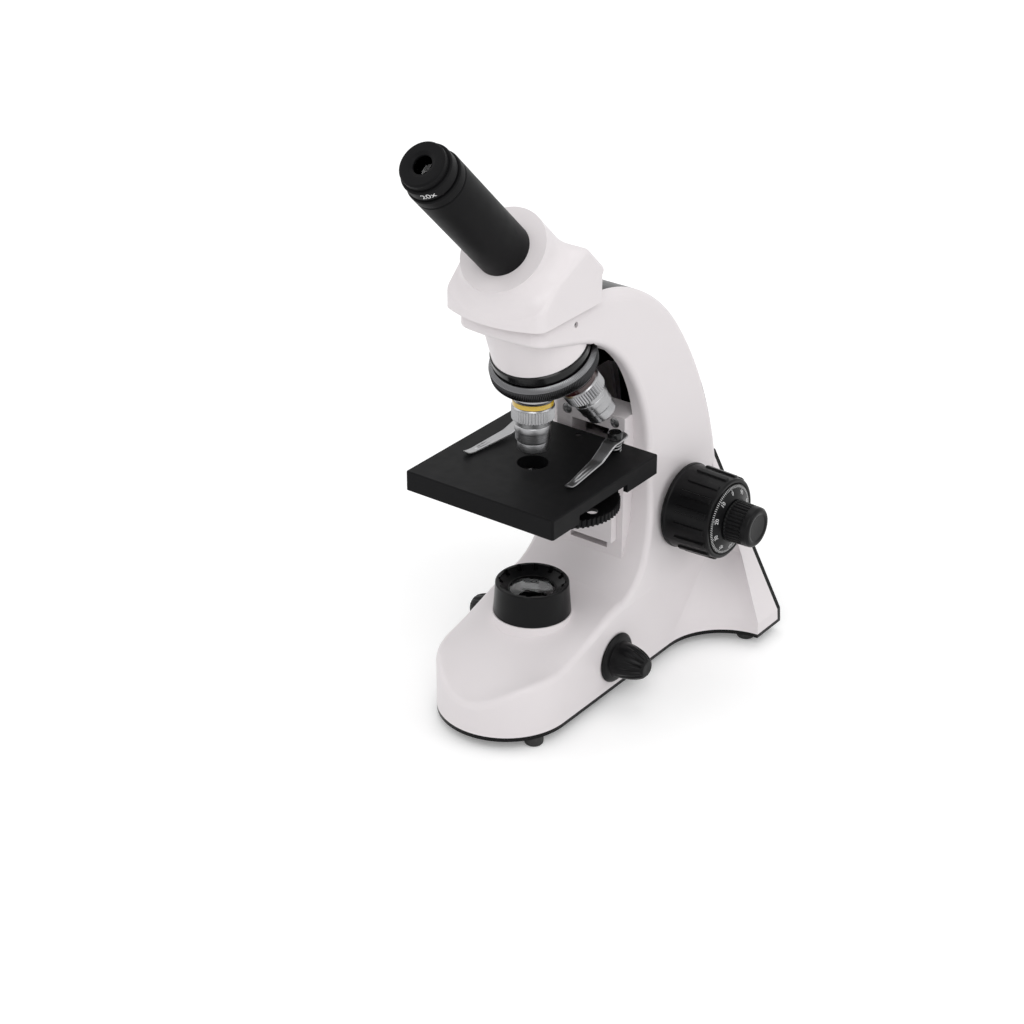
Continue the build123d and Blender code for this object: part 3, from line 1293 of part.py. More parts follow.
def shaft_bushes():
    bush = axle(BUSH_RADIUS, half_width(SHAFT_Z) - WALL - 2.0, COARSE_INNER_X - RUN_GAP, SHAFT_Y, SHAFT_Z)
    bush -= axle(SLEEVE_RADIUS + SHAFT_GAP, 0, REACH, SHAFT_Y, SHAFT_Z)
    return [bush, mirrored(bush)]


def coarse_knob():
    """The large ribbed knob on the +X side, hollow behind, recessed for the dial."""
    y, z = SHAFT_Y, SHAFT_Z
    face = COARSE_OUTER_X - DIAL_THICK - 0.5
    knob = cone_x(COARSE_RADIUS, COARSE_END_RADIUS, COARSE_INNER_X, COARSE_OUTER_X, y, z)
    for turn in range(COARSE_RIBS):
        rib = Pos((COARSE_INNER_X + 8 + COARSE_OUTER_X - 2) / 2, 0, COARSE_END_RADIUS)
        rib = rib * Box(COARSE_OUTER_X - COARSE_INNER_X - 10, 3.6, 2.6)
        knob += Pos(0, y, z) * Rot(turn * 360 / COARSE_RIBS, 0, 0) * rib
    hollow = axle(COARSE_END_RADIUS - 3.5, COARSE_INNER_X - 1, face - 2.5, y, z)
    knob -= hollow - axle(BUSH_RADIUS, 0, REACH, y, z)
    knob -= axle(DIAL_RADIUS + RUN_GAP, face, REACH, y, z)
    return knob - axle(SLEEVE_RADIUS, 0, REACH, y, z)


def dial_ring():
    """The graduated ring of the fine focus: a rim in the coarse knob's recess and a sloping face."""
    y, z = SHAFT_Y, SHAFT_Z
    ring = axle(DIAL_RADIUS, COARSE_OUTER_X - DIAL_THICK, COARSE_OUTER_X, y, z)
    ring += cone_x(DIAL_RADIUS, DIAL_TOP_RADIUS, COARSE_OUTER_X, FINE_INNER_X, y, z)
    return ring - axle(FINE_RADIUS, 0, REACH, y, z)


def fine_knob():
    y, z = SHAFT_Y, SHAFT_Z
    knob = cone_x(FINE_KNOB_RADIUS, FINE_KNOB_RADIUS - 0.7, FINE_INNER_X, FINE_OUTER_X, y, z)
    flute = Pos((FINE_INNER_X + FINE_OUTER_X) / 2, 0, FINE_KNOB_RADIUS + 0.2)
    flute = flute * Box(FINE_OUTER_X - FINE_INNER_X - 4.0, 1.4, 1.8)
    for turn in range(FINE_KNOB_RIBS):
        knob -= Pos(0, y, z) * Rot(turn * 360 / FINE_KNOB_RIBS, 0, 0) * flute
    return knob - axle(FINE_RADIUS, 0, FINE_OUTER_X - 2.0, y, z)


def nodes():
    """Every piece by its node's name."""
    outside = envelope()
    pieces = {
        "body_shell": body_shell(outside),
        "base_plate": base_plate(),
        "base_plate_screws": base_plate_screws(),
        "rubber_feet": rubber_feet(),
        "rear_cover": rear_cover(outside),
        "rear_cover_screws": rear_cover_screws(),
        "power_jack": power_jack(),
        "circuit_board": circuit_board(),
        "lamp_collar": lamp_collar(),
        "lamp_lens": lens(LAMP_LENS_RADIUS, LAMP_LENS_Z, 1.6, 1.6),
        "lamp_board": lamp_board(),
        "dimmer_potentiometer": rotary_control(),
        "selector_switch": mirrored(rotary_control()),
        "dimmer_knob": side_knob(),
        "selector_knob": mirrored(side_knob()),
        "nosepiece_mount": nosepiece_mount(outside),
        "nosepiece_race": nosepiece_race(),
        "turret_stud": turret_stud(),
        "turret": turret(),
        "objective_mid": objective(0, MID_LENGTH, TIP_RADIUS, TIP_LENGTH),
        "objective_high": objective(1, HIGH_LENGTH, HIGH_TIP_RADIUS, 2 * TIP_LENGTH),
        "objective_low": objective(2, LOW_LENGTH, TIP_RADIUS, TIP_LENGTH),
        "band_mid": objective_band(0),
        "band_high": objective_band(1),
        "band_low": objective_band(2),
        "objective_lenses": objective_lenses(),
        "slide_guide": slide_guide(),
        "guide_cap": guide_cap(),
        "guide_screws": guide_screws(),
        "carriage": carriage(),
        "rack": rack(),
        "stage_bracket": stage_bracket(),
        "stage_plate": stage_plate(),
        "stage_screw": stage_screw(),
        "condenser_cell": condenser_cell(),
        "condenser_lens": condenser_lens(),
        "diaphragm_disc": diaphragm_disc(),
        "diaphragm_screw": diaphragm_screw(),
        "clip_posts": clip_posts(),
        "clip_springs": [clip_spring(CLIP_POST_X), clip_spring(-CLIP_POST_X)],
        "right_clip": clip(),
        "left_clip": mirrored(clip()),
        "head_shell": head_shell(),
        "head_clamp_screw": head_clamp_screw(),
        "prism": prism(),
        "eyepiece_tube": eyepiece_tube(),
        "eyepiece_barrel": eyepiece_barrel(),
        "eyepiece_cap": eyepiece_cap(),
        "eyepiece_lenses": [eye_lens(), field_lens()],
        "shaft_bushes": shaft_bushes(),
        "right_sleeve": right_sleeve(),
        "left_sleeve": left_sleeve(),
        "fine_shaft": fine_shaft(),
        "counter_gear": counter_gear(),
        "counter_pin": counter_pin(),
        "right_coarse_knob": coarse_knob(),
        "left_coarse_knob": mirrored(coarse_knob()),
        "dial_rings": [dial_ring(), mirrored(dial_ring())],
        "fine_knobs": [fine_knob(), mirrored(fine_knob())],
    }
    return pieces


if __name__ == "__main__":
    os.makedirs("parts", exist_ok=True)
    for name, piece in nodes().items():
        solids = piece if isinstance(piece, list) else [piece]
        export_step(Compound(children=[Compound(list(s.solids())) for s in solids]), f"parts/{name}.step")
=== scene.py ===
"""Finishes and fine surfaces of a monocular student microscope, laid out as a Blender add-on."""

import json
from math import radians

import bmesh
import bpy
import numpy as np
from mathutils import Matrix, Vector


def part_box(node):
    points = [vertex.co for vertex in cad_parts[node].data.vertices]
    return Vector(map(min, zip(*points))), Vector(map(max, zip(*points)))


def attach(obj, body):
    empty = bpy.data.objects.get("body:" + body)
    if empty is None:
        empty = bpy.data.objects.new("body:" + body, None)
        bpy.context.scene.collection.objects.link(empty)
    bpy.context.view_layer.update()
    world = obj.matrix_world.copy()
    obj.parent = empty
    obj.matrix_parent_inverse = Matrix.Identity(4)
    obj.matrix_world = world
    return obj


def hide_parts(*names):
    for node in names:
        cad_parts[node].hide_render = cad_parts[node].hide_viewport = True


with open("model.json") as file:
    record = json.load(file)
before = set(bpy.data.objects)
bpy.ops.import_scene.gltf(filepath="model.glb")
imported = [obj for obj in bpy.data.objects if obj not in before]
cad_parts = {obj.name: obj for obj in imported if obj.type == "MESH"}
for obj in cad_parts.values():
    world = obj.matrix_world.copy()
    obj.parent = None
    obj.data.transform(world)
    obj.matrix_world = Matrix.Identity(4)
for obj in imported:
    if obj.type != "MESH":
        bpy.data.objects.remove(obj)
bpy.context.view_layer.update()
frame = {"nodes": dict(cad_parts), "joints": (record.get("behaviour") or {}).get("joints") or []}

bl_info = {
    "name": "Monocular Student Microscope",
    "version": (1, 0, 0),
    "blender": (4, 5, 0),
    "location": "View3D > Sidebar > Microscope",
    "description": "Finishes, knurls, knobs, clips and markings of a student microscope",
    "category": "Object",
}

MM = 0.001
TURN = 2 * np.pi
JOINTS = {joint["name"]: joint for joint in frame["joints"]}

# Where the inside of the arm is, in metres, for the painted shade laid there
ARM_TAPER = 0.0623
INSIDE_HALF = 0.0368
INSIDE_FRONT = 0.0625
INSIDE_BACK = 0.194
BACK_SLOPE = 0.6
SLOT_HALF = 0.02106
SLOT_FRONT = 0.0305
SLOT_BOTTOM = 0.1471
SLOT_TOP = 0.199

# What the pale floor adds to its own light where it is seen, near the object and far from it,
# so that it shows white and keeps the shadow
FLOOR_LIFT = 0.18
FLOOR_FAR = 2.5
FLOOR_FAR_LIFT = 0.42


# Places and sizes read from the frame

def axis_place(origin, way, zero):
    """An axis as arrays: origin, way, and two directions square to it, the first nearest to zero."""
    origin = np.array(origin, float)
    way = np.array(way, float) / np.linalg.norm(way)
    zero = np.array(zero, float)
    first = zero - way * (zero @ way)
    first = first / np.linalg.norm(first)
    return origin, way, first, np.cross(way, first)


def node_points(node):
    """Every corner of a CAD node's mesh, one row each."""
    mesh = frame["nodes"][node].data
    points = np.empty(len(mesh.vertices) * 3, np.float32)
    mesh.vertices.foreach_get("co", points)
    return points.reshape(-1, 3).astype(float)


def node_centre(node):
    low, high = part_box(node)
    return np.array((low + high) / 2)


def reach_of(node, place):
    """Lowest and highest distance of a node along an axis, and its largest radius about it."""
    origin, way = place[:2]
    offset = node_points(node) - origin
    along = offset @ way
    away = np.linalg.norm(offset - along[:, None] * way, axis=1)
    return along.min(), along.max(), away.max()


def joint_place(name, zero):
    return axis_place(JOINTS[name]["pos_m"], JOINTS[name]["axis"], zero)


def tube_place():
    """The eyepiece tube's axis, from the middle of the tube, zero on its underside."""
    return axis_place(node_centre("eyepiece_tube"), JOINTS["eyepiece_lift"]["axis"], (0, 0, -1))


def nose_place():
    return joint_place("nosepiece_turn", (0, -1, 0))


def objective_place(name):
    """An objective's axis, from the nosepiece's apex through the middle of its colour band."""
    apex, way = nose_place()[:2]
    return axis_place(apex, node_centre(f"band_{name}") - apex, way)


def shaft_place(side):
    """The focus shaft's axis, pointing out of the body on the side asked for."""
    origin = JOINTS["fine_turn"]["pos_m"]
    return axis_place(origin, (side, 0, 0), (0, 0, 1))


def base_knob_place(joint):
    return joint_place(joint, (0, 0, 1))


# Surfaces

def softened(corners, radius, steps=4):
    """A line of corners with each inner corner rounded: a quadratic curve leaves one side of the
    corner and joins the other, at most the radius from it and never past the middle of a side."""
    points = np.array(corners, float)
    before = points[1:-1] - points[:-2]
    after = points[2:] - points[1:-1]
    before_length = np.linalg.norm(before, axis=1, keepdims=True)
    after_length = np.linalg.norm(after, axis=1, keepdims=True)
    reach = np.minimum(radius, 0.45 * np.minimum(before_length, after_length))
    start = (points[1:-1] - before / before_length * reach)[:, None]
    end = (points[1:-1] + after / after_length * reach)[:, None]
    share = np.linspace(0, 1, steps + 1)[None, :, None]
    middle = points[1:-1][:, None]
    curve = (1 - share) ** 2 * start + 2 * share * (1 - share) * middle + share**2 * end
    return np.vstack([points[:1], curve.reshape(-1, 2), points[-1:]])


def even_angles(steps):
    return np.linspace(0, TURN, steps, endpoint=False)


def turned(profile, place, angles, ripple=None):
    """A profile of (distance, radius) rows carried round an axis. The point at an angle is
    origin + distance * way + radius * (cos angle * first + sin angle * second), and ripple,
    a function of distance and angle, is added to the radius."""
    origin, way, first, second = place
    along = profile[:, :1]
    radius = np.repeat(profile[:, 1:], len(angles), axis=1)
    if ripple is not None:
        radius = radius + ripple(along, angles[None, :])
    out = np.cos(angles)[:, None] * first + np.sin(angles)[:, None] * second
    return origin + along[:, :, None] * way + radius[:, :, None] * out[None]


def gate(value, low, high, ease):
    """One between low and high, nothing outside, with a smooth slope as wide as ease at each end."""
    rise = np.clip((value - low) / ease + 0.5, 0, 1)
    fall = np.clip((high - value) / ease + 0.5, 0, 1)
    share = np.minimum(rise, fall)
    return share * share * (3 - 2 * share)


def grid_faces(rows, columns, wrap_rows, wrap_columns, start):
    """Four corner numbers for every cell of a grid of points."""
    number = start + np.arange(rows * columns).reshape(rows, columns)
    if wrap_columns:
        number = np.hstack([number, number[:, :1]])
    if wrap_rows:
        number = np.vstack([number, number[:1]])
    corners = [number[:-1, :-1], number[:-1, 1:], number[1:, 1:], number[1:, :-1]]
    return np.stack(corners, axis=-1).reshape(-1, 4)


def capped(grid):
    """A tube's grid with the middle of its first ring and of its last one added, so that both ends close."""
    first, last = [ring.mean(1, keepdims=True).repeat(grid.shape[1], 1) for ring in (grid[:1], grid[-1:])]
    return np.concatenate([first, grid, last])


def outward(points, faces):
    """The faces, turned round where the volume that they close comes out negative."""
    corner = points[faces]
    first = np.einsum("ij,ij->i", corner[:, 0], np.cross(corner[:, 1], corner[:, 2]))
    second = np.einsum("ij,ij->i", corner[:, 0], np.cross(corner[:, 2], corner[:, 3]))
    return faces if first.sum() + second.sum() > 0 else faces[:, ::-1]


def mesh_of(name, points, faces, sharp=40.0, along=None):
    """A mesh from rows of points and four-cornered faces, with its poles merged."""
    mesh = bpy.data.meshes.new(name)
    mesh.vertices.add(len(points))
    mesh.vertices.foreach_set("co", points.astype(np.float32).ravel())
    mesh.loops.add(faces.size)
    mesh.loops.foreach_set("vertex_index", faces.astype(np.int32).ravel())
    mesh.polygons.add(len(faces))
    mesh.polygons.foreach_set("loop_start", np.arange(0, faces.size, 4, dtype=np.int32))
    mesh.update(calc_edges=True)
    if along is not None:
        attribute = mesh.attributes.new("along", "FLOAT", "POINT")
        attribute.data.foreach_set("value", along.astype(np.float32).ravel())
    editable = bmesh.new()
    editable.from_mesh(mesh)
    bmesh.ops.remove_doubles(editable, verts=editable.verts, dist=1e-7)
    editable.to_mesh(mesh)
    editable.free()
    mesh.polygons.foreach_set("use_smooth", np.ones(len(mesh.polygons), bool))
    mesh.set_sharp_from_angle(angle=radians(sharp))
    mesh.update()
    return mesh


def grids_mesh(name, grids, wrap_rows=False, wrap_columns=True, place=None):
    """One mesh of one or several closed grids, with the distance along an axis kept on its points."""
    points = np.vstack([grid.reshape(-1, 3) for grid in grids])
    starts = np.cumsum([0] + [grid.shape[0] * grid.shape[1] for grid in grids])
    faces = [
        outward(points, grid_faces(*grid.shape[:2], wrap_rows, wrap_columns, start))
        for grid, start in zip(grids, starts)
    ]
    along = None if place is None else (points - place[0]) @ place[1]
    return mesh_of(name, points, np.vstack(faces), along=along)


def boxes_mesh(name, corners):
    """One mesh of many small six-sided blocks, their eight corners given one block a row."""
    cell = np.array([[0, 3, 2, 1], [4, 5, 6, 7], [0, 1, 5, 4], [1, 2, 6, 5], [2, 3, 7, 6], [3, 0, 4, 7]])
    faces = (np.arange(len(corners)) * 8)[:, None, None] + cell[None]
    points = corners.reshape(-1, 3)
    turned_out = [outward(points, block) for block in faces]
    return mesh_of(name, points, np.vstack(turned_out))


def add_piece(name, mesh, finish, body, replaced=()):
    """A finished piece of the object, riding on a body, in place of the CAD nodes named."""
    piece = bpy.data.objects.new(name, mesh)
    bpy.context.scene.collection.objects.link(piece)
    mesh.materials.clear()
    mesh.materials.append(bpy.data.materials[finish])
    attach(piece, body)
    if replaced:
        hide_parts(*replaced)
    return piece


def text_points(words, height):
    """A line of plain figures as a flat mesh's corner points and faces, centred on its middle."""
    curve = bpy.data.curves.new("figures", "FONT")
    curve.body = words
    curve.size = height
    curve.align_x = "CENTER"
    curve.align_y = "CENTER"
    curve.resolution_u = 3
    holder = bpy.data.objects.new("figures", curve)
    bpy.context.scene.collection.objects.link(holder)
    mesh = bpy.data.meshes.new_from_object(holder.evaluated_get(bpy.context.evaluated_depsgraph_get()))
    points = np.empty(len(mesh.vertices) * 3, np.float32)
    mesh.vertices.foreach_get("co", points)
    faces = [tuple(face.vertices) for face in mesh.polygons]
    bpy.data.objects.remove(holder)
    bpy.data.curves.remove(curve)
    bpy.data.meshes.remove(mesh)
    return points.reshape(-1, 3).astype(float), faces


def add_figures(name, points, faces, body):
    """Thin printed figures that ride on a body, from a flat mesh's points and faces."""
    mesh = bpy.data.meshes.new(name)
    mesh.from_pydata(points.tolist(), [], faces)
    mesh.update()
    figures = add_piece(name, mesh, "white_marking", body)
    thick = figures.modifiers.new("thickness", "SOLIDIFY")
    thick.thickness = 0.06 * MM
    thick.offset = -1


# Finishes

def shader_tree(name):
    """A new material's node tree and its shader."""
    material = bpy.data.materials.new(name)
    material.use_nodes = True
    tree = material.node_tree
    return material, tree, tree.nodes["Principled BSDF"]


def feed(tree, socket, value):
    """Link another node's output to an input, or set the input to a plain value."""
    if isinstance(value, bpy.types.NodeSocket):
        tree.links.new(value, socket)
    else:
        socket.default_value = value


def add_node(tree, kind, **sockets):
    """A node with some of its inputs set or linked."""
    node = tree.nodes.new(kind)
    for name, value in sockets.items():
        feed(tree, node.inputs[name.replace("_", " ")], value)
    return node


def object_place(tree):
    """Each point's own place on the object."""
    return tree.nodes.new("ShaderNodeTexCoord").outputs["Object"]


def colour_mix(tree, share):
    """The two colour inputs and the colour output of a mix that follows a share."""
    mix = tree.nodes.new("ShaderNodeMix")
    mix.data_type = "RGBA"
    tree.links.new(share, mix.inputs["Factor"])
    first, second = [socket for socket in mix.inputs if socket.type == "RGBA"]
    return first, second, next(socket for socket in mix.outputs if socket.type == "RGBA")


def grain(tree, vector, scale, detail=2.0):
    """A noise over the surface, from nothing to one."""
    return add_node(tree, "ShaderNodeTexNoise", Vector=vector, Scale=scale, Detail=detail).outputs["Fac"]


def between(tree, share, low, high):
    """A number that goes from low to high with a share."""
    return add_node(tree, "ShaderNodeMapRange", Value=share, To_Min=low, To_Max=high).outputs["Result"]


def tones(tree, share, colour, spread):
    """A colour that darkens and lightens a little with a share."""
    low, high, result = colour_mix(tree, share)
    low.default_value = (*[channel * (1 - spread) for channel in colour], 1)
    high.default_value = (*[channel * (1 + spread) for channel in colour], 1)
    return result


def rough_skin(tree, shader, height, depth):
    """Fine relief over the surface, in metres."""
    bump = add_node(tree, "ShaderNodeBump", Height=height, Strength=1.0, Distance=depth)
    tree.links.new(bump.outputs["Normal"], shader.inputs["Normal"])


def coated(name, colour, roughness, relief, relief_scale, spread=0.03, metal=0.0, coat=0.0, shine=0.5):
    """Paint, plating, plastic or rubber: a slow drift of tone, uneven gloss and a fine skin."""
    material, tree, shader = shader_tree(name)
    place = object_place(tree)
    tree.links.new(tones(tree, grain(tree, place, 55.0, 3.0), colour, spread), shader.inputs["Base Color"])
    gloss = between(tree, grain(tree, place, 140.0), roughness * 0.82, roughness * 1.18)
    tree.links.new(gloss, shader.inputs["Roughness"])
    rough_skin(tree, shader, grain(tree, place, relief_scale), relief)
    shader.inputs["Metallic"].default_value = metal
    shader.inputs["Specular IOR Level"].default_value = shine
    shader.inputs["Coat Weight"].default_value = coat
    shader.inputs["Coat Roughness"].default_value = 0.12
    material.diffuse_color = (*colour, 1)
    return material


def maths(tree, operation, first, second):
    """One sum on two numbers or sockets."""
    node = tree.nodes.new("ShaderNodeMath")
    node.operation = operation
    for socket, value in zip(node.inputs, (first, second)):
        feed(tree, socket, value)
    return node.outputs[0]


def directly_seen(tree):
    """One for the camera and for what mirrors and glass show of the background, and nought for its light."""
    path = tree.nodes.new("ShaderNodeLightPath").outputs
    shown = maths(tree, "MAXIMUM", path["Is Camera Ray"], path["Is Transmission Ray"])
    return maths(tree, "MAXIMUM", shown, path["Is Glossy Ray"])


def paint_arm_shade(material, dark):
    """Painted shade inside the arm: a dark colour laid behind its front wall, before its back wall and
    between its sides, and on the walls of the slot behind the nosepiece, by place alone, where shade falls in
    that recess."""
    tree = material.node_tree
    shader = tree.nodes["Principled BSDF"]
    paint = shader.inputs["Base Color"].links[0].from_socket
    place = object_place(tree)
    spot = add_node(tree, "ShaderNodeSeparateXYZ", Vector=place)
    side = maths(tree, "ABSOLUTE", spot.outputs["X"], 0.0)
    depth = spot.outputs["Y"]
    height = spot.outputs["Z"]
    wall = maths(tree, "SUBTRACT", INSIDE_HALF, maths(tree, "MULTIPLY", height, ARM_TAPER))
    back = maths(tree, "SUBTRACT", INSIDE_BACK, maths(tree, "MULTIPLY", height, BACK_SLOPE))
    between_walls = maths(tree, "MULTIPLY", maths(tree, "LESS_THAN", side, wall),
                          maths(tree, "GREATER_THAN", depth, INSIDE_FRONT))
    in_slot = maths(tree, "MULTIPLY", maths(tree, "LESS_THAN", side, SLOT_HALF),
                    maths(tree, "GREATER_THAN", depth, SLOT_FRONT))
    inside = maths(tree, "MAXIMUM", between_walls, in_slot)
    inside = maths(tree, "MULTIPLY", inside, maths(tree, "LESS_THAN", depth, back))
    inside = maths(tree, "MULTIPLY", inside, maths(tree, "GREATER_THAN", height, SLOT_BOTTOM))
    inside = maths(tree, "MULTIPLY", inside, maths(tree, "LESS_THAN", height, SLOT_TOP))
    # painted shade: the dark colour is mixed in wherever the place mask says inside the arm
    painted, painted_shade, result = colour_mix(tree, inside)
    tree.links.new(paint, painted)
    painted_shade.default_value = (*dark, 1)
    tree.links.new(result, shader.inputs["Base Color"])


def turned_metal(name, colour, roughness, line_scale, depth):
    """Lathe-turned metal: fine rings that follow the piece's own distance along its axis."""
    material, tree, shader = shader_tree(name)
    along = tree.nodes.new("ShaderNodeAttribute")
    along.attribute_name = "along"
    row = add_node(tree, "ShaderNodeCombineXYZ", Z=along.outputs["Fac"]).outputs["Vector"]
    rings = grain(tree, row, line_scale, 3.0)
    place = object_place(tree)
    tree.links.new(tones(tree, grain(tree, place, 90.0), colour, 0.04), shader.inputs["Base Color"])
    tree.links.new(between(tree, rings, roughness * 0.75, roughness * 1.3), shader.inputs["Roughness"])
    rough_skin(tree, shader, rings, depth)
    shader.inputs["Metallic"].default_value = 1.0
    material.diffuse_color = (*colour, 1)
    return material


def brushed_metal(name, colour, roughness, depth):
    """Rolled or drawn metal: long faint scratches across the piece."""
    material, tree, shader = shader_tree(name)
    place = object_place(tree)
    stretch = (3000.0, 160.0, 3000.0)
    stretched = add_node(tree, "ShaderNodeMapping", Vector=place, Scale=stretch).outputs["Vector"]
    lines = grain(tree, stretched, 1.0, 2.0)
    tree.links.new(tones(tree, grain(tree, place, 120.0), colour, 0.05), shader.inputs["Base Color"])
    tree.links.new(between(tree, lines, roughness * 0.7, roughness * 1.4), shader.inputs["Roughness"])
    rough_skin(tree, shader, lines, depth)
    shader.inputs["Metallic"].default_value = 1.0
    material.diffuse_color = (*colour, 1)
    return material


def clear_glass(name, colour):
    """Optical glass with a faint uneven film."""
    material, tree, shader = shader_tree(name)
    place = object_place(tree)
    tree.links.new(tones(tree, grain(tree, place, 200.0), colour, 0.02), shader.inputs["Base Color"])
    tree.links.new(between(tree, grain(tree, place, 300.0), 0.0, 0.06), shader.inputs["Roughness"])
    shader.inputs["Transmission Weight"].default_value = 1.0
    shader.inputs["IOR"].default_value = 1.52
    material.diffuse_color = (*colour, 1)
    return material


NODE_FINISHES = {
    "shell_paint": ("body_shell",),
    "casting_paint": ("nosepiece_mount", "head_shell", "slide_guide", "guide_cap", "carriage"),
    "moulded_black": (
        "base_plate", "rear_cover", "lamp_collar", "dimmer_knob", "selector_knob", "right_coarse_knob",
        "left_coarse_knob", "fine_knobs", "dial_rings", "power_jack", "diaphragm_disc",
        "dimmer_potentiometer", "selector_switch",
    ),
    "satin_black": (
        "stage_plate", "stage_bracket", "eyepiece_tube", "eyepiece_barrel", "eyepiece_cap", "condenser_cell",
    ),
    "bright_black": ("nosepiece_race", "stage_screw", "head_clamp_screw"),
    "gunmetal": ("turret",),
    "turned_silver": ("objective_mid", "objective_high", "objective_low"),
    "spring_steel": (
        "right_clip", "left_clip", "clip_springs", "guide_screws", "base_plate_screws",
        "rear_cover_screws", "diaphragm_screw", "turret_stud", "fine_shaft",
        "right_sleeve", "left_sleeve", "counter_pin",
    ),
    "post_black": ("clip_posts",),
    "gear_brass": ("rack", "counter_gear", "shaft_bushes"),
    "lens_glass": ("lamp_lens", "condenser_lens", "objective_lenses", "eyepiece_lenses", "prism"),
    "yellow_enamel": ("band_mid",),
    "red_enamel": ("band_low",),
    "blue_enamel": ("band_high",),
    "board_green": ("circuit_board", "lamp_board"),
    "foot_rubber": ("rubber_feet",),
}


# Settings

def colour_setting(name, words, default):
    return bpy.props.FloatVectorProperty(
        name=name, description=words, default=default, size=3, min=0, max=1, subtype="COLOR"
    )


def length_setting(name, words, default):
    return bpy.props.FloatProperty(
        name=name, description=words, default=default, min=0, unit="LENGTH", precision=5
    )


def count_setting(name, words, default):
    return bpy.props.IntProperty(name=name, description=words, default=default, min=3)


class MicroscopeColours(bpy.types.PropertyGroup):
    white_paint: colour_setting("White paint", "Paint of the castings", (0.765, 0.724, 0.735))
    satin_black: colour_setting("Satin black", "Paint of the stage and eyepiece", (0.0062, 0.0062, 0.0067))
    moulded_black: colour_setting(
        "Moulded black", "Plastic of the knobs and covers", (0.0055, 0.0055, 0.0059)
    )
    bright_black: colour_setting("Bright black", "Plating of the nosepiece", (0.0060, 0.0060, 0.0064))
    gunmetal: colour_setting("Gunmetal", "Plating of the nosepiece's grip", (0.045, 0.045, 0.047))
    # painted highlight: a lighter copy of the gunmetal stands in for the reflection on the bevel
    bevel: colour_setting("Bevel", "Polished bevel of the nosepiece's grip", (0.15, 0.15, 0.155))
    silver: colour_setting("Silver", "Turned metal of the objectives", (0.36, 0.36, 0.367))
    steel: colour_setting("Steel", "Clips, springs and screws", (0.38, 0.38, 0.385))
    yellow: colour_setting("Yellow band", "Band of the middle objective", (0.72, 0.47, 0.03))
    red: colour_setting("Red band", "Band of the low objective", (0.032, 0.006, 0.006))
    blue: colour_setting("Blue band", "Band of the high objective", (0.03, 0.10, 0.50))
    marking: colour_setting("Markings", "Figures and lines on dials", (0.72, 0.72, 0.72))
    floor: colour_setting("Floor", "Pale floor under the object", (0.93, 0.93, 0.93))


class MicroscopeSizes(bpy.types.PropertyGroup):
    turret_teeth: count_setting("Turret teeth", "Fine teeth round the nosepiece's grip", 180)
    turret_tooth: length_setting("Turret tooth", "Depth of the nosepiece's teeth", 0.5 * MM)
    grip_ridges: count_setting("Grip ridges", "Ridges round an objective's grip", 48)
    grip_depth: length_setting("Grip depth", "Depth of the grooves between those ridges", 0.5 * MM)
    coarse_ribs: count_setting("Coarse ribs", "Bars round a coarse focus knob", 16)
    coarse_rib_width: length_setting("Coarse rib width", "Width of one bar", 3.2 * MM)
    coarse_rib_height: length_setting("Coarse rib height", "Height of one bar", 1.0 * MM)
    fine_flutes: count_setting("Fine flutes", "Grooves round a fine focus knob", 34)
    fine_flute_depth: length_setting("Fine flute depth", "Depth of those grooves", 0.65 * MM)
    dial_lines: count_setting("Dial lines", "Lines round the fine focus dial", 100)
    dial_figures: count_setting("Dial figures", "Figures round the fine focus dial", 10)
    dial_crown: length_setting("Dial crown", "Height of the dial's sloping face", 2.5 * MM)
    dial_top: length_setting("Dial top", "Radius of the dial where the fine knob stands", 12.0 * MM)
    base_flutes: count_setting("Base knob flutes", "Grooves round the knobs on the base", 12)
    base_flute_depth: length_setting("Base flute depth", "Depth of those grooves", 0.9 * MM)
    spring_wire: length_setting("Spring wire", "Wire of the clip springs", 0.9 * MM)
    spring_turns: count_setting("Spring turns", "Turns of each clip spring", 3)


# Operators

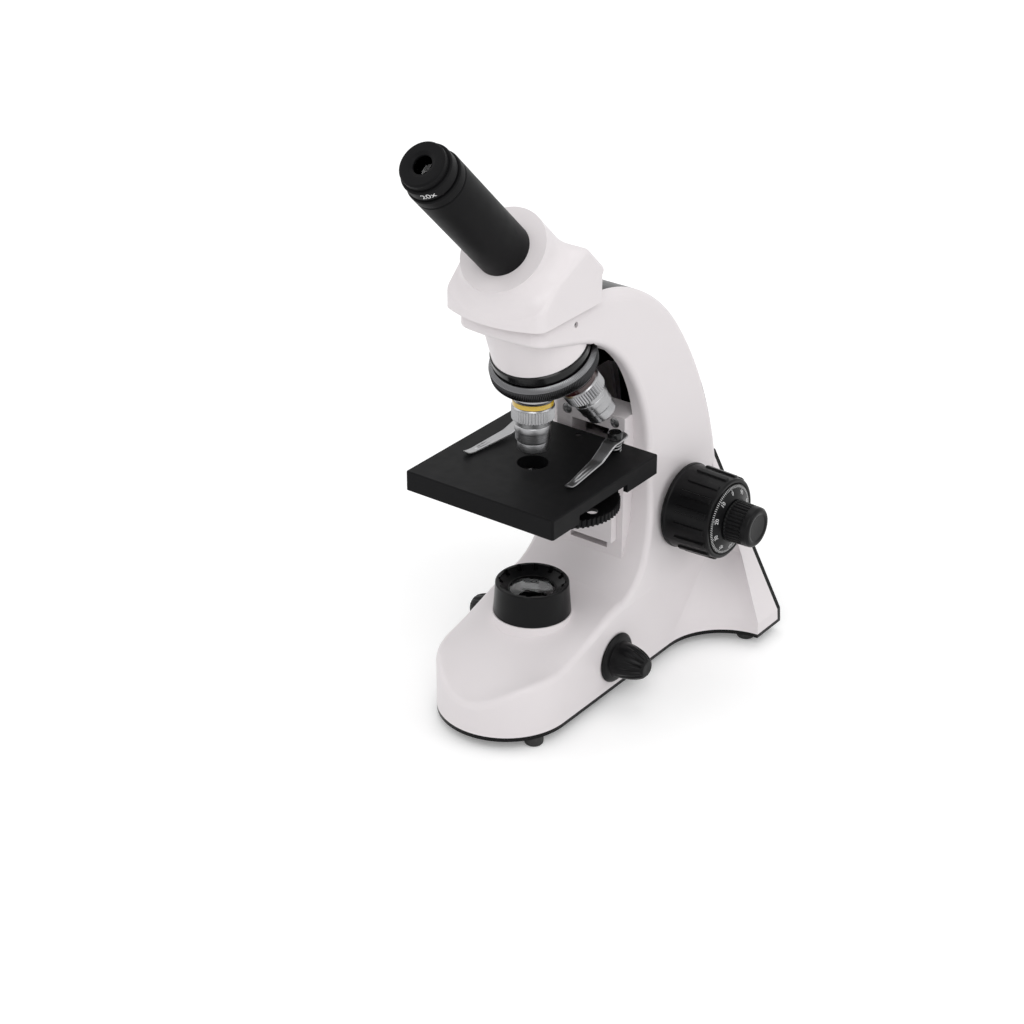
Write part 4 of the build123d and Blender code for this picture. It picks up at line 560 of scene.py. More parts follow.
class MixFinishes(bpy.types.Operator):
    """Make the finishes and put them on the solids"""
    bl_idname = "microscope.mix_finishes"
    bl_label = "Mix Finishes"

    def execute(self, context):
        tint = context.scene.microscope_colours
        for name in ("casting_paint", "shell_paint"):
            coated(name, tint.white_paint, 0.40, 0.000010, 1500.0, spread=0.012, coat=0.08, shine=0.35)
        # painted shade: the moulded black is laid inside the arm and its slot, where shade falls
        paint_arm_shade(bpy.data.materials["shell_paint"], tint.moulded_black)
        coated("satin_black", tint.satin_black, 0.46, 0.000010, 2400.0, spread=0.12, shine=0.07)
        coated("moulded_black", tint.moulded_black, 0.30, 0.000010, 1800.0, spread=0.12, shine=0.12)
        coated("bright_black", tint.bright_black, 0.16, 0.000003, 2600.0, spread=0.10, shine=0.25)
        coated("post_black", tint.bright_black, 0.14, 0.000003, 2600.0, spread=0.10, shine=0.40)
        coated("gunmetal", tint.gunmetal, 0.26, 0.000002, 2600.0, spread=0.10, metal=1.0)
        # painted highlight: the same plating as the gunmetal, made lighter for the bevel's reflection
        coated("bevel_metal", tint.bevel, 0.18, 0.000002, 2600.0, spread=0.10, metal=1.0)
        coated("foot_rubber", tint.moulded_black, 0.75, 0.000030, 900.0, spread=0.15, shine=0.2)
        coated("board_green", (0.02, 0.12, 0.05), 0.40, 0.000020, 700.0, spread=0.20)
        for name, colour in (("yellow", tint.yellow), ("red", tint.red), ("blue", tint.blue)):
            coated(f"{name}_enamel", colour, 0.24, 0.000005, 1200.0, spread=0.05, coat=0.5)
        coated("white_marking", tint.marking, 0.55, 0.000004, 3000.0, spread=0.06)
        turned_metal("turned_silver", tint.silver, 0.27, 5200.0, 0.0000012)
        brushed_metal("spring_steel", tint.steel, 0.30, 0.000001)
        brushed_metal("gear_brass", (0.62, 0.42, 0.16), 0.30, 0.000004)
        clear_glass("lens_glass", (0.94, 0.96, 0.97))
        for finish, nodes in NODE_FINISHES.items():
            for node in nodes:
                mesh = frame["nodes"][node].data
                mesh.materials.clear()
                mesh.materials.append(bpy.data.materials[finish])
        return {"FINISHED"}


class MakeEyepiece(bpy.types.Operator):
    """Turn the eyepiece tube, the eyepiece and its cap"""
    bl_idname = "microscope.make_eyepiece"
    bl_label = "Make Eyepiece"

    POWER_HEIGHT = 4.8 * MM
    POWER_ANGLE = radians(28)
    POWER_LIFT = 0.04 * MM

    def execute(self, context):
        place = tube_place()
        low, high, radius = reach_of("eyepiece_tube", place)
        bore = radius - 2.0 * MM
        tube = softened([
            (low, bore), (low, radius), (high - 0.5 * MM, radius), (high, radius - 0.5 * MM), (high, bore),
        ], 0.25 * MM)
        self.turned_piece("eyepiece_sleeve", tube, place, "head", "eyepiece_tube")

        seat = high + 0.3 * MM
        low, high, radius = reach_of("eyepiece_barrel", place)
        inner = bore - 1.5 * MM
        ring = radius - 0.9 * MM
        band = seat + 4.6 * MM
        barrel = softened([
            (low, inner), (low, bore - 0.1 * MM), (seat, bore - 0.1 * MM), (seat, radius - 0.35 * MM),
            (seat + 0.35 * MM, radius), (band, radius), (band + 0.5 * MM, radius - 0.5 * MM),
            (band + 0.5 * MM, radius - 2.2 * MM), (band + 1.6 * MM, radius - 2.2 * MM),
            (band + 1.6 * MM, ring),
            (high - 0.5 * MM, ring), (high, ring - 0.5 * MM), (high, inner),
        ], 0.18 * MM)
        self.turned_piece("eyepiece_body", barrel, place, "eyepiece", "eyepiece_barrel")
        ring_middle = (band + 1.6 * MM + high) / 2

        low, high, radius = reach_of("eyepiece_cap", place)
        hole = 4.8 * MM
        step = high - 2.2 * MM
        cap = softened([
            (low, hole + 3.0 * MM), (low, radius), (high - 0.7 * MM, radius), (high, radius - 0.7 * MM),
            (high - 0.1 * MM, hole + 1.8 * MM), (high - 0.9 * MM, hole), (step, hole),
            (step, hole + 3.0 * MM),
        ], 0.25 * MM)
        self.turned_piece("eyepiece_eyecup", cap, place, "eyepiece", "eyepiece_cap")
        self.power(place, ring_middle, ring)
        return {"FINISHED"}

    def turned_piece(self, name, outline, place, body, node):
        """A closed outline turned about the tube's axis, in place of a CAD node."""
        mesh = grids_mesh(name, [turned(outline, place, even_angles(160))], True, True, place)
        add_piece(name, mesh, "satin_black", body, (node,))

    def power(self, place, middle, radius):
        """The magnifying power, printed round the ring: a flat word's width becomes an angle about the
        axis and its height a distance along it."""
        origin, way, first, second = place
        flat, faces = text_points("20x", self.POWER_HEIGHT)
        angle = (self.POWER_ANGLE + flat[:, 0] / radius)[:, None]
        out = np.cos(angle) * first + np.sin(angle) * second
        points = origin + (middle + flat[:, 1:2]) * way + (radius + self.POWER_LIFT) * out
        add_figures("eyepiece_power", points, faces, "eyepiece")


class MakeNosepiece(bpy.types.Operator):
    """Knurl the nosepiece's ring and turn the three objectives"""
    bl_idname = "microscope.make_nosepiece"
    bl_label = "Make Nosepiece"

    def execute(self, context):
        size = context.scene.microscope_sizes
        place = nose_place()
        low, _, radius = reach_of("turret", place)
        depth = size.turret_tooth
        bevel_end = low + 2.1 * MM
        bevel = np.array([
            (low + 0.05 * MM, radius - 2.3 * MM), (low + 0.05 * MM, radius - 1.8 * MM),
            (bevel_end - 0.4 * MM, radius + 0.2 * MM), (bevel_end, radius + 0.25 * MM),
            (bevel_end, radius - 0.4 * MM),
        ])
        span = (low + 0.2 * MM, bevel_end - 0.1 * MM)
        # the bevel takes the lighter gunmetal, a painted highlight
        self.knurled("turret_bevel", bevel, 0.25 * MM, span, "bevel_metal", size)
        ring_start = bevel_end + 0.15 * MM
        ring_end = low + 7.4 * MM
        ring = np.array([
            (ring_start, radius - 0.3 * MM), (ring_start, radius + 0.02 * MM),
            (ring_start + 0.3 * MM, radius + depth),
            (ring_end - 0.3 * MM, radius + depth), (ring_end, radius + 0.02 * MM),
            (ring_end, radius - 0.3 * MM),
        ])
        span = (ring_start + 0.2 * MM, ring_end - 0.2 * MM)
        self.knurled("turret_grip", ring, depth, span, "gunmetal", size)
        for name in ("mid", "high", "low"):
            self.objective(name, size)
        return {"FINISHED"}

    def knurled(self, name, outline, depth, span, finish, size):
        """A ring's outline turned about the nosepiece's axis, with pointed teeth over a span of it."""
        place = nose_place()

        def teeth(along, angle):
            wave = np.abs((angle * size.turret_teeth / TURN) % 1 - 0.5) * 2
            return -depth * wave * gate(along, *span, 0.1 * MM)

        grid = turned(outline, place, even_angles(size.turret_teeth * 6), teeth)
        mesh = grids_mesh(name, [grid], True, True, place)
        add_piece(name, mesh, finish, "nosepiece")

    def objective(self, name, size):
        """One objective's outline turned about its axis, with ridges round its grip."""
        place = objective_place(name)
        node = f"objective_{name}"
        low, high, radius = reach_of(node, place)
        band_low, band_high, band = reach_of(f"band_{name}", place)
        thread = 8.0 * MM
        bore = 3.2 * MM
        grip_start = band_high + 0.8 * MM
        grip_end = grip_start + 6.8 * MM
        barrel = radius - 1.8 * MM
        nose = 6.0 * MM if name == "high" else 7.85 * MM
        nose_start = high - (11.6 * MM if name == "high" else 5.8 * MM)
        groove = grip_end + 3.0 * MM
        shoulder = grip_end + 0.55 * (nose_start - grip_end)
        seat = band_low - 4.2 * MM
        outline = softened([
            (low, bore), (low, thread), (seat, thread), (seat, band - 1.0 * MM),
            (band_low - 0.9 * MM, band - 0.9 * MM),
            (band_low - 0.2 * MM, band - 0.1 * MM), (band_low, band - 0.5 * MM),
            (band_high, band - 0.5 * MM),
            (band_high + 0.2 * MM, band - 0.1 * MM), (grip_start, radius - 0.1 * MM),
            (grip_start + 0.2 * MM, radius),
            (grip_start + 0.5 * MM, radius), (grip_end - 0.5 * MM, radius), (grip_end - 0.2 * MM, radius),
            (grip_end, radius - 0.6 * MM), (grip_end, barrel + 0.1 * MM),
            (groove - 0.25 * MM, barrel + 0.1 * MM),
            (groove, barrel - 0.15 * MM), (groove + 0.25 * MM, barrel + 0.1 * MM),
            (shoulder, barrel + 0.1 * MM),
            (shoulder + 0.25 * MM, barrel - 0.25 * MM), (nose_start - 0.5 * MM, barrel - 0.25 * MM),
            (nose_start, barrel - 0.7 * MM), (nose_start, nose - 0.5 * MM),
            (nose_start + 0.5 * MM, nose - 0.5 * MM),
            (nose_start + 0.5 * MM, nose), (high - 0.8 * MM, nose), (high, nose - 0.8 * MM),
            (high, 4.6 * MM),
            (high - 0.6 * MM, 4.0 * MM), (high - 2.4 * MM, 4.0 * MM), (high - 2.4 * MM, bore),
        ], 0.12 * MM, 3)

        def ridges(along, angle):
            wave = 0.5 + 0.5 * np.cos(angle * size.grip_ridges)
            span = gate(along, grip_start + 0.35 * MM, grip_end - 0.35 * MM, 0.3 * MM)
            return -size.grip_depth * wave**0.7 * span

        grid = turned(outline, place, even_angles(size.grip_ridges * 8), ridges)
        mesh = grids_mesh(f"{node}_turned", [grid], True, True, place)
        add_piece(f"{node}_turned", mesh, "turned_silver", "nosepiece", (node,))


class MakeFocusKnobs(bpy.types.Operator):
    """Make the ribbed coarse knobs, the fluted fine knobs and the dial's lines and figures"""
    bl_idname = "microscope.make_focus_knobs"
    bl_label = "Make Focus Knobs"

    LONG_LINE = 1.9 * MM
    SHORT_LINE = 1.2 * MM
    LINE_HALF = 0.13 * MM
    MARK_LIFT = 0.05 * MM
    FIGURE_HEIGHT = 3.2 * MM
    FIGURE_INSET = 3.3 * MM

    def execute(self, context):
        size = context.scene.microscope_sizes
        for side, word in ((1, "right"), (-1, "left")):
            self.coarse(word, shaft_place(side), size)
        self.fine(size)
        self.dial(size)
        return {"FINISHED"}

    def coarse(self, word, place, size):
        """A tapered drum with a step behind, and bars that stand on it at even angles."""
        node = f"{word}_coarse_knob"
        low, high, radius = reach_of(node, place)
        dial = reach_of("dial_rings", shaft_place(1))[2] + 0.3 * MM
        end = radius - 1.4 * MM
        rib_start = low + 8.0 * MM
        rib_end = high - 2.2 * MM
        web = high - 3.5 * MM
        step = low + 2.4 * MM
        ease = 0.35 * MM
        skin = [
            (along, np.interp(along, (step, high), (radius - 0.5 * MM, end)))
            for along in (step + 0.4 * MM, rib_start - ease, rib_start, rib_start + ease,
                          (rib_start + rib_end) / 2, rib_end - ease, rib_end, rib_end + ease, high - 0.6 * MM)
        ]
        outline = softened([
            (low, dial), (low, radius - 0.8 * MM), (low + 0.8 * MM, radius), (step, radius), *skin,
            (high, end - 0.7 * MM), (high, dial + 0.4 * MM), (high - 0.4 * MM, dial), (web, dial),
            (web, 3.6 * MM),
            (web - 2.5 * MM, 3.6 * MM), (web - 2.5 * MM, dial),
        ], 0.3 * MM, 3)
        half = size.coarse_rib_width / 2 / radius
        gap = np.pi / size.coarse_ribs
        edge = ease / radius
        offsets = np.array([-0.8 * gap, -half - edge, -half - edge / 2, -half, -half + edge / 2, -half / 2, 0,
                            half / 2, half - edge / 2, half, half + edge / 2, half + edge, 0.8 * gap, gap])
        angles = (np.arange(size.coarse_ribs)[:, None] * 2 * gap + offsets[None]).ravel()

        def bars(along, angle):
            turn = np.abs((angle + gap) % (2 * gap) - gap)
            height = size.coarse_rib_height * gate(along, rib_start, rib_end, ease)
            outside = (np.arange(len(outline)) < len(outline) * 0.7)[:, None]
            return height * gate(turn, -1, half, edge) * outside

        mesh = grids_mesh(f"{node}_ribbed", [turned(outline, place, angles, bars)], True, True, place)
        add_piece(f"{node}_ribbed", mesh, "moulded_black", f"coarse_{word}", (node,))

    def fine(self, size):
        """Two small drums with rounded ends, grooved at even angles, one on each side."""
        _, high, radius = reach_of("fine_knobs", shaft_place(1))
        low = reach_of("dial_rings", shaft_place(1))[1]
        flute_start = low + 1.2 * MM
        flute_end = high - 4.6 * MM
        outline = softened([
            (low, 0), (low, radius - 0.5 * MM), (low + 0.5 * MM, radius), (flute_start + 0.3 * MM, radius),
            (flute_start + 0.9 * MM, radius), (flute_end - 0.9 * MM, radius - 0.3 * MM),
            (flute_end - 0.3 * MM, radius - 0.3 * MM), (flute_end + 0.3 * MM, radius - 0.3 * MM),
            (high - 1.2 * MM, radius - 0.5 * MM), (high, radius - 1.7 * MM), (high, radius - 3.2 * MM),
            (high - 0.5 * MM, radius - 4.2 * MM), (high - 0.6 * MM, 0),
        ], 0.5 * MM)

        def flutes(along, angle):
            wave = 0.5 + 0.5 * np.cos(angle * size.fine_flutes)
            return -size.fine_flute_depth * wave**1.5 * gate(along, flute_start, flute_end, 0.8 * MM)

        angles = even_angles(size.fine_flutes * 10)
        grids = [turned(outline, shaft_place(side), angles, flutes) for side in (1, -1)]
        mesh = grids_mesh("fine_knobs_fluted", grids, False, True)
        add_piece("fine_knobs_fluted", mesh, "moulded_black", "fine", ("fine_knobs",))

    def dial(self, size):
        """Thin raised lines down the dial's sloping face at even angles, every tenth one longer, and
        figures inside them. The face falls from the fine knob to the rim by a fixed share of the radius."""
        high, radius = reach_of("dial_rings", shaft_place(1))[1:]
        slope = size.dial_crown / (radius - size.dial_top)
        rim = radius - 0.5 * MM
        blocks = []
        points = []
        faces = []
        for side in (1, -1):
            origin, way, first, second = shaft_place(side)
            turn = even_angles(size.dial_lines)
            long_line = np.arange(size.dial_lines) % (size.dial_lines // size.dial_figures) == 0
            inner = rim - np.where(long_line, self.LONG_LINE, self.SHORT_LINE)[:, None]
            outer = np.full_like(inner, rim)
            out = np.cos(turn)[:, None] * first + np.sin(turn)[:, None] * second
            along_rim = -np.sin(turn)[:, None] * first + np.cos(turn)[:, None] * second

            def corner(reach, edge, lift):
                """A point of every line: on the sloping face at a radius, to one edge and a little off it."""
                level = high - slope * (reach - size.dial_top) + lift
                return origin + level * way + reach * out + edge * self.LINE_HALF * along_rim

            blocks.append(np.stack([
                corner(reach, edge, lift) for lift in (-self.MARK_LIFT, self.MARK_LIFT)
                for reach, edge in ((inner, -1), (outer, -1), (outer, 1), (inner, 1))
            ], axis=1))
            for number in range(size.dial_figures):
                flat, figure_faces = text_points(str(number * 10), self.FIGURE_HEIGHT)
                angle = TURN * number / size.dial_figures
                up = np.cos(angle) * first + np.sin(angle) * second
                right = np.cross(up, way)
                reach = rim - self.FIGURE_INSET
                level = high - slope * (reach - size.dial_top) + self.MARK_LIFT
                middle = origin + level * way + reach * up
                uphill = (up - slope * way) / np.hypot(1, slope)
                start = sum(len(part) for part in points)
                points.append(middle + flat[:, :1] * right + flat[:, 1:2] * uphill)
                faces += [tuple(corner_number + start for corner_number in face) for face in figure_faces]
        lines = boxes_mesh("dial_lines", np.vstack(blocks))
        add_piece("dial_lines", lines, "white_marking", "fine")
        add_figures("dial_figures", np.vstack(points), faces, "fine")


class MakeBaseKnobs(bpy.types.Operator):
    """Make the two bell-shaped knobs on the sides of the base"""
    bl_idname = "microscope.make_base_knobs"
    bl_label = "Make Base Knobs"

    def execute(self, context):
        size = context.scene.microscope_sizes
        for joint, node in (("dimmer_turn", "dimmer_knob"), ("selector_turn", "selector_knob")):
            place = base_knob_place(joint)
            low, high, radius = reach_of(node, place)
            skirt = 0.3 * MM
            bell = skirt + 2.8 * MM
            length = high - bell
            share = np.linspace(0, 1, 10)
            curve = np.column_stack([bell + share * length * 0.93, (9.7 - 1.0 * share - 3.0 * share**3) * MM])
            outline = softened([
                (low, 0), (low, 3.0 * MM), (skirt, 3.0 * MM), (skirt, radius), (skirt + 0.9 * MM, radius),
                (skirt + 2.2 * MM, radius - 1.4 * MM), (bell - 0.1 * MM, 10.4 * MM), *curve,
                (high, 4.2 * MM), (high, 2.0 * MM), (high - 0.1 * MM, 0),
            ], 0.5 * MM)

            def flutes(along, angle):
                wave = np.abs(np.cos(angle * size.base_flutes / 2)) ** 6
                reach = np.clip((along - bell - 0.18 * length) / (0.5 * length), 0, 1)
                return -size.base_flute_depth * wave * reach * gate(along, bell, high - 0.8 * MM, 1.0 * MM)

            grid = turned(outline, place, even_angles(size.base_flutes * 16), flutes)
            mesh = grids_mesh(f"{node}_fluted", [grid], False, True, place)
            body = node.split("_")[0]
            add_piece(f"{node}_fluted", mesh, "moulded_black", body, (node,))
        return {"FINISHED"}


class MakeClips(bpy.types.Operator):
    """Bend the two specimen clips and wind their springs"""
    bl_idname = "microscope.make_clips"
    bl_label = "Make Clips"

    # The strip in millimetres from its post: its bends and their drop, and its half width along it
    BENDS = (
        (-9.0, 0), (-5.0, 0), (6.0, 0), (19.0, -4.2), (40.0, -5.3), (44.4, -5.55), (48.0, -5.1), (50.2, -4.1),
    )
    WIDTH_AT = (-9, 2, 9, 19, 46.5, 50.2)
    HALF_WIDTH = (4.5, 4.5, 3.6, 3.4, 2.2, 2.0)
    TAIL_START = 4.5
    TAIL_LENGTH = 4.55
    TIP_START = 48.2
    TIP_LENGTH = 2.05
    HEADING = (6.0, -50.0)
    HALF_THICK = 0.45
    # The pressed oval and the hollow in it: middle, half length, and half width as a share of the strip's
    OVAL_MIDDLE = 35.5
    OVAL = (7.0, 0.50)
    HOLLOW = (5.8, 0.26)
    PRESS = 0.35

    def execute(self, context):
        size = context.scene.microscope_sizes
        self.springs(size)
        for side, word in ((1, "right"), (-1, "left")):
            self.clip(side, word)
        return {"FINISHED"}

    def springs(self, size):
        """A wire whose middle climbs a helix about each post, with a round section square to it."""
        low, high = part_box("clip_springs")
        wire = size.spring_wire / 2
        radius = (high.y - low.y) / 2 - wire
        turn = np.linspace(0, TURN * size.spring_turns, 40 * size.spring_turns + 1)[:, None]
        rise = (high.z - low.z - 2 * wire) / turn[-1, 0]
        around = even_angles(14)[None, :]
        grids = []
        for joint in ("right_clip_swing", "left_clip_swing"):
            x, y = JOINTS[joint]["pos_m"][:2]
            slope = np.hypot(radius, rise)
            reach = radius + wire * np.cos(around)
            lift = wire * np.sin(around)
            grids.append(np.stack([
                x + reach * np.cos(turn) + lift * np.sin(turn) * rise / slope,
                y + reach * np.sin(turn) - lift * np.cos(turn) * rise / slope,
                low.z + wire + rise * turn + lift * radius / slope,
            ], axis=-1))
        mesh = grids_mesh("clip_spring_coils", [capped(grid) for grid in grids], False, True)
        add_piece("clip_spring_coils", mesh, "spring_steel", "stage", ("clip_springs",))

    def clip(self, side, word):
        """A strip along its length: its height follows soft bends from the post down to the tip,
        its width narrows past the second bend, and a long oval near the tip is pressed up."""
        node = f"{word}_clip"
        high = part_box(node)[1]
        post = np.array(JOINTS[f"{word}_clip_swing"]["pos_m"][:2])
        line = softened(np.array(self.BENDS) * MM, 1.4 * MM, 6)
        along = np.interp(np.linspace(0, 1, 150), np.linspace(0, 1, len(line)), line[:, 0])
        drop = np.interp(along, line[:, 0], line[:, 1])
        past_tail = np.minimum(along, -self.TAIL_START * MM) / MM + self.TAIL_START
        past_tip = np.clip(along / MM - self.TIP_START, 0, None)
        tail = np.sqrt(np.clip(1 - past_tail**2 / self.TAIL_LENGTH**2, 0, 1))
        tip = np.sqrt(np.clip(1 - past_tip**2 / self.TIP_LENGTH**2, 0.0, 1))
        wide = np.interp(along / MM, self.WIDTH_AT, self.HALF_WIDTH) * MM * tail
        wide = np.maximum(wide * tip, 0.05 * MM)
        thick = self.HALF_THICK * MM
        across = np.linspace(-1, 1, 27)
        from_oval = along[:, None] / MM - self.OVAL_MIDDLE
        oval, hollow = [
            gate(np.hypot(from_oval / half_length, across[None] / half_width), -1, 1.0, 0.35)
            for half_length, half_width in (self.OVAL, self.HOLLOW)
        ]
        press = self.PRESS * MM * (oval - 0.9 * hollow)
        edge = thick * (1 - np.abs(across) ** 10) ** 0.5
        middle = high.z - thick + drop
        top = (middle[:, None] + press) + edge[None]
        bottom = (middle[:, None] + press) - edge[None]
        heading = np.array([side * self.HEADING[0], self.HEADING[1]]) / np.hypot(*self.HEADING)
        square = np.array([-heading[1], heading[0]])
        offset = np.concatenate([across, across[-2:0:-1]])
        height = np.concatenate([top, bottom[:, -2:0:-1]], axis=1)
        place = post + along[:, None, None] * heading + (wide[:, None] * offset[None])[:, :, None] * square
        grid = np.concatenate([place, height[:, :, None]], axis=-1)
        mesh = grids_mesh(f"{node}_strip", [capped(grid)], False, True)
        add_piece(f"{node}_strip", mesh, "spring_steel", f"clip_{word}", (node,))


class MakeScrewHeads(bpy.types.Operator):
    """Dome the cross-headed screws of the slide guide"""
    bl_idname = "microscope.make_screw_heads"
    bl_label = "Make Screw Heads"

    def execute(self, context):
        """A low dome over a disc, less a cross: each arm of it is long one way and narrow the other."""
        low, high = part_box("guide_screws")
        radius = (high.z - low.z) / 2
        share = np.linspace(0, 1, 26)[:, None]
        angle = even_angles(72)[None, :]
        right = radius * share * np.cos(angle)
        up = radius * share * np.sin(angle)

        def arm(across, along):
            narrow = gate(np.abs(across), -1, 0.34 * MM, 0.16 * MM)
            return narrow * gate(np.abs(along), -1, 1.75 * MM, 0.25 * MM)

        dome = (0.55 - 0.4 * share**2) * MM
        level = dome - 0.45 * MM * np.maximum(arm(right, up), arm(up, right))
        edge = np.stack([right[-1], up[-1]])
        right = np.vstack([right, edge[:1], 0 * edge[:1]])
        up = np.vstack([up, edge[1:], 0 * edge[1:]])
        level = np.vstack([level, np.full((2, level.shape[1]), -0.2 * MM)])
        height = (low.z + high.z) / 2
        across = high.x - radius
        grids = [
            np.stack([side * across + right, low.y - level, height + up], axis=-1) for side in (1, -1)
        ]
        mesh = grids_mesh("guide_screw_heads", grids, False, True)
        add_piece("guide_screw_heads", mesh, "spring_steel", "stand")
        return {"FINISHED"}


class MakeLegWebs(bpy.types.Operator):
    """Cover the small opening that the solid has in the scoop on each side of the rear leg"""
    bl_idname = "microscope.make_leg_webs"
    bl_label = "Make Leg Webs"

    # In millimetres. Each scoop's arc is the half width and depth of its root and of its rim, and its sag
    TOE = (36.0, 80.0, 69.0, 111.87, 9.503)
    WAIST = (35.5, 110.0, 53.7, 116.5, 4.5)
    TOE_HEIGHT = 14.5
    WAIST_HEIGHT = 50.0
    WEB_BOTTOM = 24.0
    WEB_TOP = 43.0
    WEB_SPAN = (0.1, 0.98)
    WEB_SETBACK = 0.15
    WEB_THICK = 1.2

    def execute(self, context):
        """Two arcs joined by straight lines up the leg. The web's face lies a little behind that surface,
        and its back a web's thickness further in. Each end closes halfway between face and back."""
        share = np.linspace(*self.WEB_SPAN, 40)
        height = np.linspace(self.WEB_BOTTOM, self.WEB_TOP, 20)[:, None, None]
        climb = (height - self.TOE_HEIGHT) / (self.WAIST_HEIGHT - self.TOE_HEIGHT)
        toe, inward = self.arc(self.TOE, share)
        waist = self.arc(self.WAIST, share)[0]
        face = (1 - climb) * toe[None] + climb * waist[None] + self.WEB_SETBACK * inward
        back = face[:, ::-1] + self.WEB_THICK * inward
        loop = np.concatenate([face, back], axis=1)
        grid = np.concatenate([loop, np.broadcast_to(height, (*loop.shape[:2], 1))], axis=-1) * MM
        ends = [(row + row[:, ::-1]) / 2 for row in (grid[:1], grid[-1:])]
        grid = np.concatenate([ends[0], grid, ends[1]])
        mesh = grids_mesh("leg_webs", [grid, grid * (-1, 1, 1)], False, True)
        add_piece("leg_webs", mesh, "casting_paint", "stand")
        return {"FINISHED"}

    def arc(self, sizes, share):
        """Points along an arc of a given sag between two ends, and the way it bulges."""
        start = np.array(sizes[:2])
        end = np.array(sizes[2:4])
        sag = sizes[4]
        run = end - start
        chord = np.hypot(*run)
        inward = np.array([-run[1], run[0]]) / chord
        radius = (chord**2 / 4 + sag**2) / (2 * sag)
        angle = (2 * share[:, None] - 1) * np.arcsin(chord / 2 / radius)
        along = run / chord
        middle = (start + end) / 2 + (sag - radius) * inward
        return middle + radius * (np.sin(angle) * along + np.cos(angle) * inward), inward


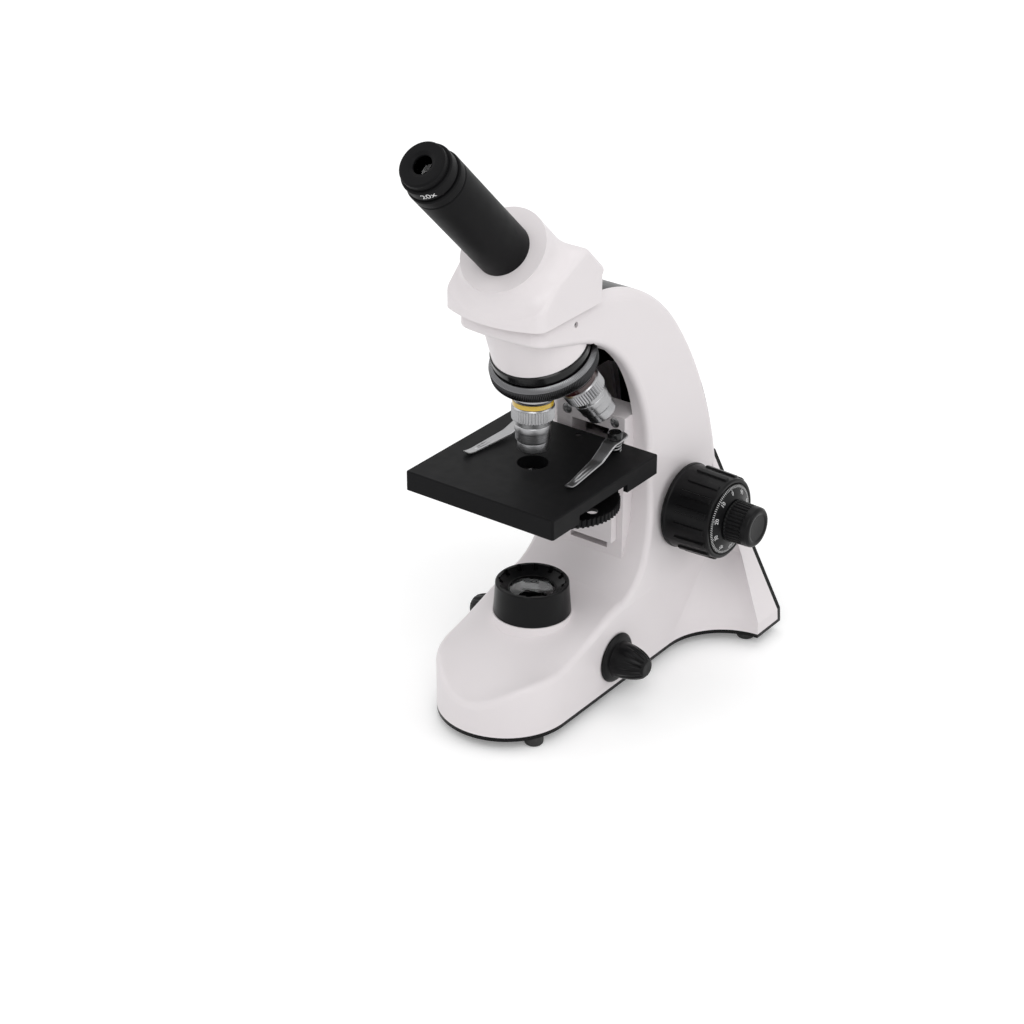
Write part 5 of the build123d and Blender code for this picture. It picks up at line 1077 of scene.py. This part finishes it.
class SetStage(bpy.types.Operator):
    """Lay the floor, set the light and place the camera"""
    bl_idname = "microscope.set_stage"
    bl_label = "Set Stage"

    CAMERA_PLACE = (0.64896, -0.88676, 0.69043)
    CAMERA_BACK = (0.52855686, -0.70816906, 0.46810706)
    CAMERA_LENS = 86.83
    CAMERA_SENSOR = 36.0
    FLOOR_HALF = 6.0
    WORLD_LIGHT = 0.63
    LAMPS = (
        ("key_softbox", (0.9, -1.2, 1.7), 1.2, 13.6),
        ("side_softbox", (1.6, 0.5, 1.1), 1.0, 4.3),
        ("fill_softbox", (-1.5, -0.7, 1.2), 1.2, 4.4),
        ("top_softbox", (-0.2, 0.6, 2.0), 1.2, 5.5),
    )
    AIM = Vector((0.0, 0.03, 0.15))

    def execute(self, context):
        self.floor(context)
        self.light(context)
        lens = bpy.data.cameras.new("photo_camera")
        lens.lens = self.CAMERA_LENS
        lens.sensor_width = self.CAMERA_SENSOR
        lens.clip_end = 50.0
        camera = bpy.data.objects.new("photo_camera", lens)
        camera.location = self.CAMERA_PLACE
        camera.rotation_euler = Vector(self.CAMERA_BACK).to_track_quat("Z", "Y").to_euler()
        context.scene.collection.objects.link(camera)
        context.scene.camera = camera
        context.scene.view_settings.view_transform = "Standard"
        return {"FINISHED"}

    def floor(self, context):
        """A pale sheet that adds a little light of its own where it is seen."""
        tint = context.scene.microscope_colours
        half = self.FLOOR_HALF
        corners = np.array([(-half, -half, 0), (half, -half, 0), (half, half, 0), (-half, half, 0)], float)
        mesh = mesh_of("floor", corners, np.array([[0, 1, 2, 3]]))
        floor = bpy.data.objects.new("floor", mesh)
        context.scene.collection.objects.link(floor)
        paper = coated("floor_paper", tint.floor, 0.9, 0.00002, 300.0, spread=0.005)
        tree = paper.node_tree
        shader = tree.nodes["Principled BSDF"]
        shader.inputs["Emission Color"].default_value = (1, 1, 1, 1)
        distance = tree.nodes.new("ShaderNodeVectorMath")
        distance.operation = "LENGTH"
        tree.links.new(object_place(tree), distance.inputs[0])
        share = maths(tree, "MULTIPLY", distance.outputs["Value"], 1 / FLOOR_FAR)
        shown = maths(tree, "MULTIPLY", directly_seen(tree), between(tree, share, FLOOR_LIFT, FLOOR_FAR_LIFT))
        tree.links.new(shown, shader.inputs["Emission Strength"])
        mesh.materials.append(paper)

    def light(self, context):
        """A white world, dimmer as a light than it shows, and four soft lamps."""
        world = bpy.data.worlds.new("studio")
        context.scene.world = world
        world.use_nodes = True
        tree = world.node_tree
        strength = between(tree, directly_seen(tree), self.WORLD_LIGHT, 1.0)
        background = tree.nodes["Background"]
        background.inputs["Color"].default_value = (1, 1, 1, 1)
        tree.links.new(strength, background.inputs["Strength"])
        for name, place, width, power in self.LAMPS:
            data = bpy.data.lights.new(name, "AREA")
            data.energy = power
            data.size = width
            lamp = bpy.data.objects.new(name, data)
            lamp.location = place
            lamp.rotation_euler = (Vector(place) - self.AIM).to_track_quat("Z", "Y").to_euler()
            context.scene.collection.objects.link(lamp)


class MicroscopePanel(bpy.types.Panel):
    """Lists the steps that dress the microscope"""
    bl_idname = "VIEW3D_PT_microscope"
    bl_label = "Microscope"
    bl_space_type = "VIEW_3D"
    bl_region_type = "UI"
    bl_category = "Microscope"

    def draw(self, context):
        for step in STEPS:
            self.layout.operator(step.bl_idname)
        for settings in (context.scene.microscope_colours, context.scene.microscope_sizes):
            for name in settings.bl_rna.properties.keys()[2:]:
                self.layout.prop(settings, name)


STEPS = (
    MixFinishes, MakeEyepiece, MakeNosepiece, MakeFocusKnobs, MakeBaseKnobs, MakeClips, MakeScrewHeads,
    MakeLegWebs, SetStage,
)
CLASSES = (MicroscopeColours, MicroscopeSizes, *STEPS, MicroscopePanel)


def register():
    for item in CLASSES:
        bpy.utils.register_class(item)
    bpy.types.Scene.microscope_colours = bpy.props.PointerProperty(type=MicroscopeColours)
    bpy.types.Scene.microscope_sizes = bpy.props.PointerProperty(type=MicroscopeSizes)


def unregister():
    del bpy.types.Scene.microscope_sizes
    del bpy.types.Scene.microscope_colours
    for item in reversed(CLASSES):
        bpy.utils.unregister_class(item)


def main():
    register()
    bpy.ops.microscope.mix_finishes()
    bpy.ops.microscope.make_eyepiece()
    bpy.ops.microscope.make_nosepiece()
    bpy.ops.microscope.make_focus_knobs()
    bpy.ops.microscope.make_base_knobs()
    bpy.ops.microscope.make_clips()
    bpy.ops.microscope.make_screw_heads()
    bpy.ops.microscope.make_leg_webs()
    bpy.ops.microscope.set_stage()


if __name__ == "__main__":
    main()
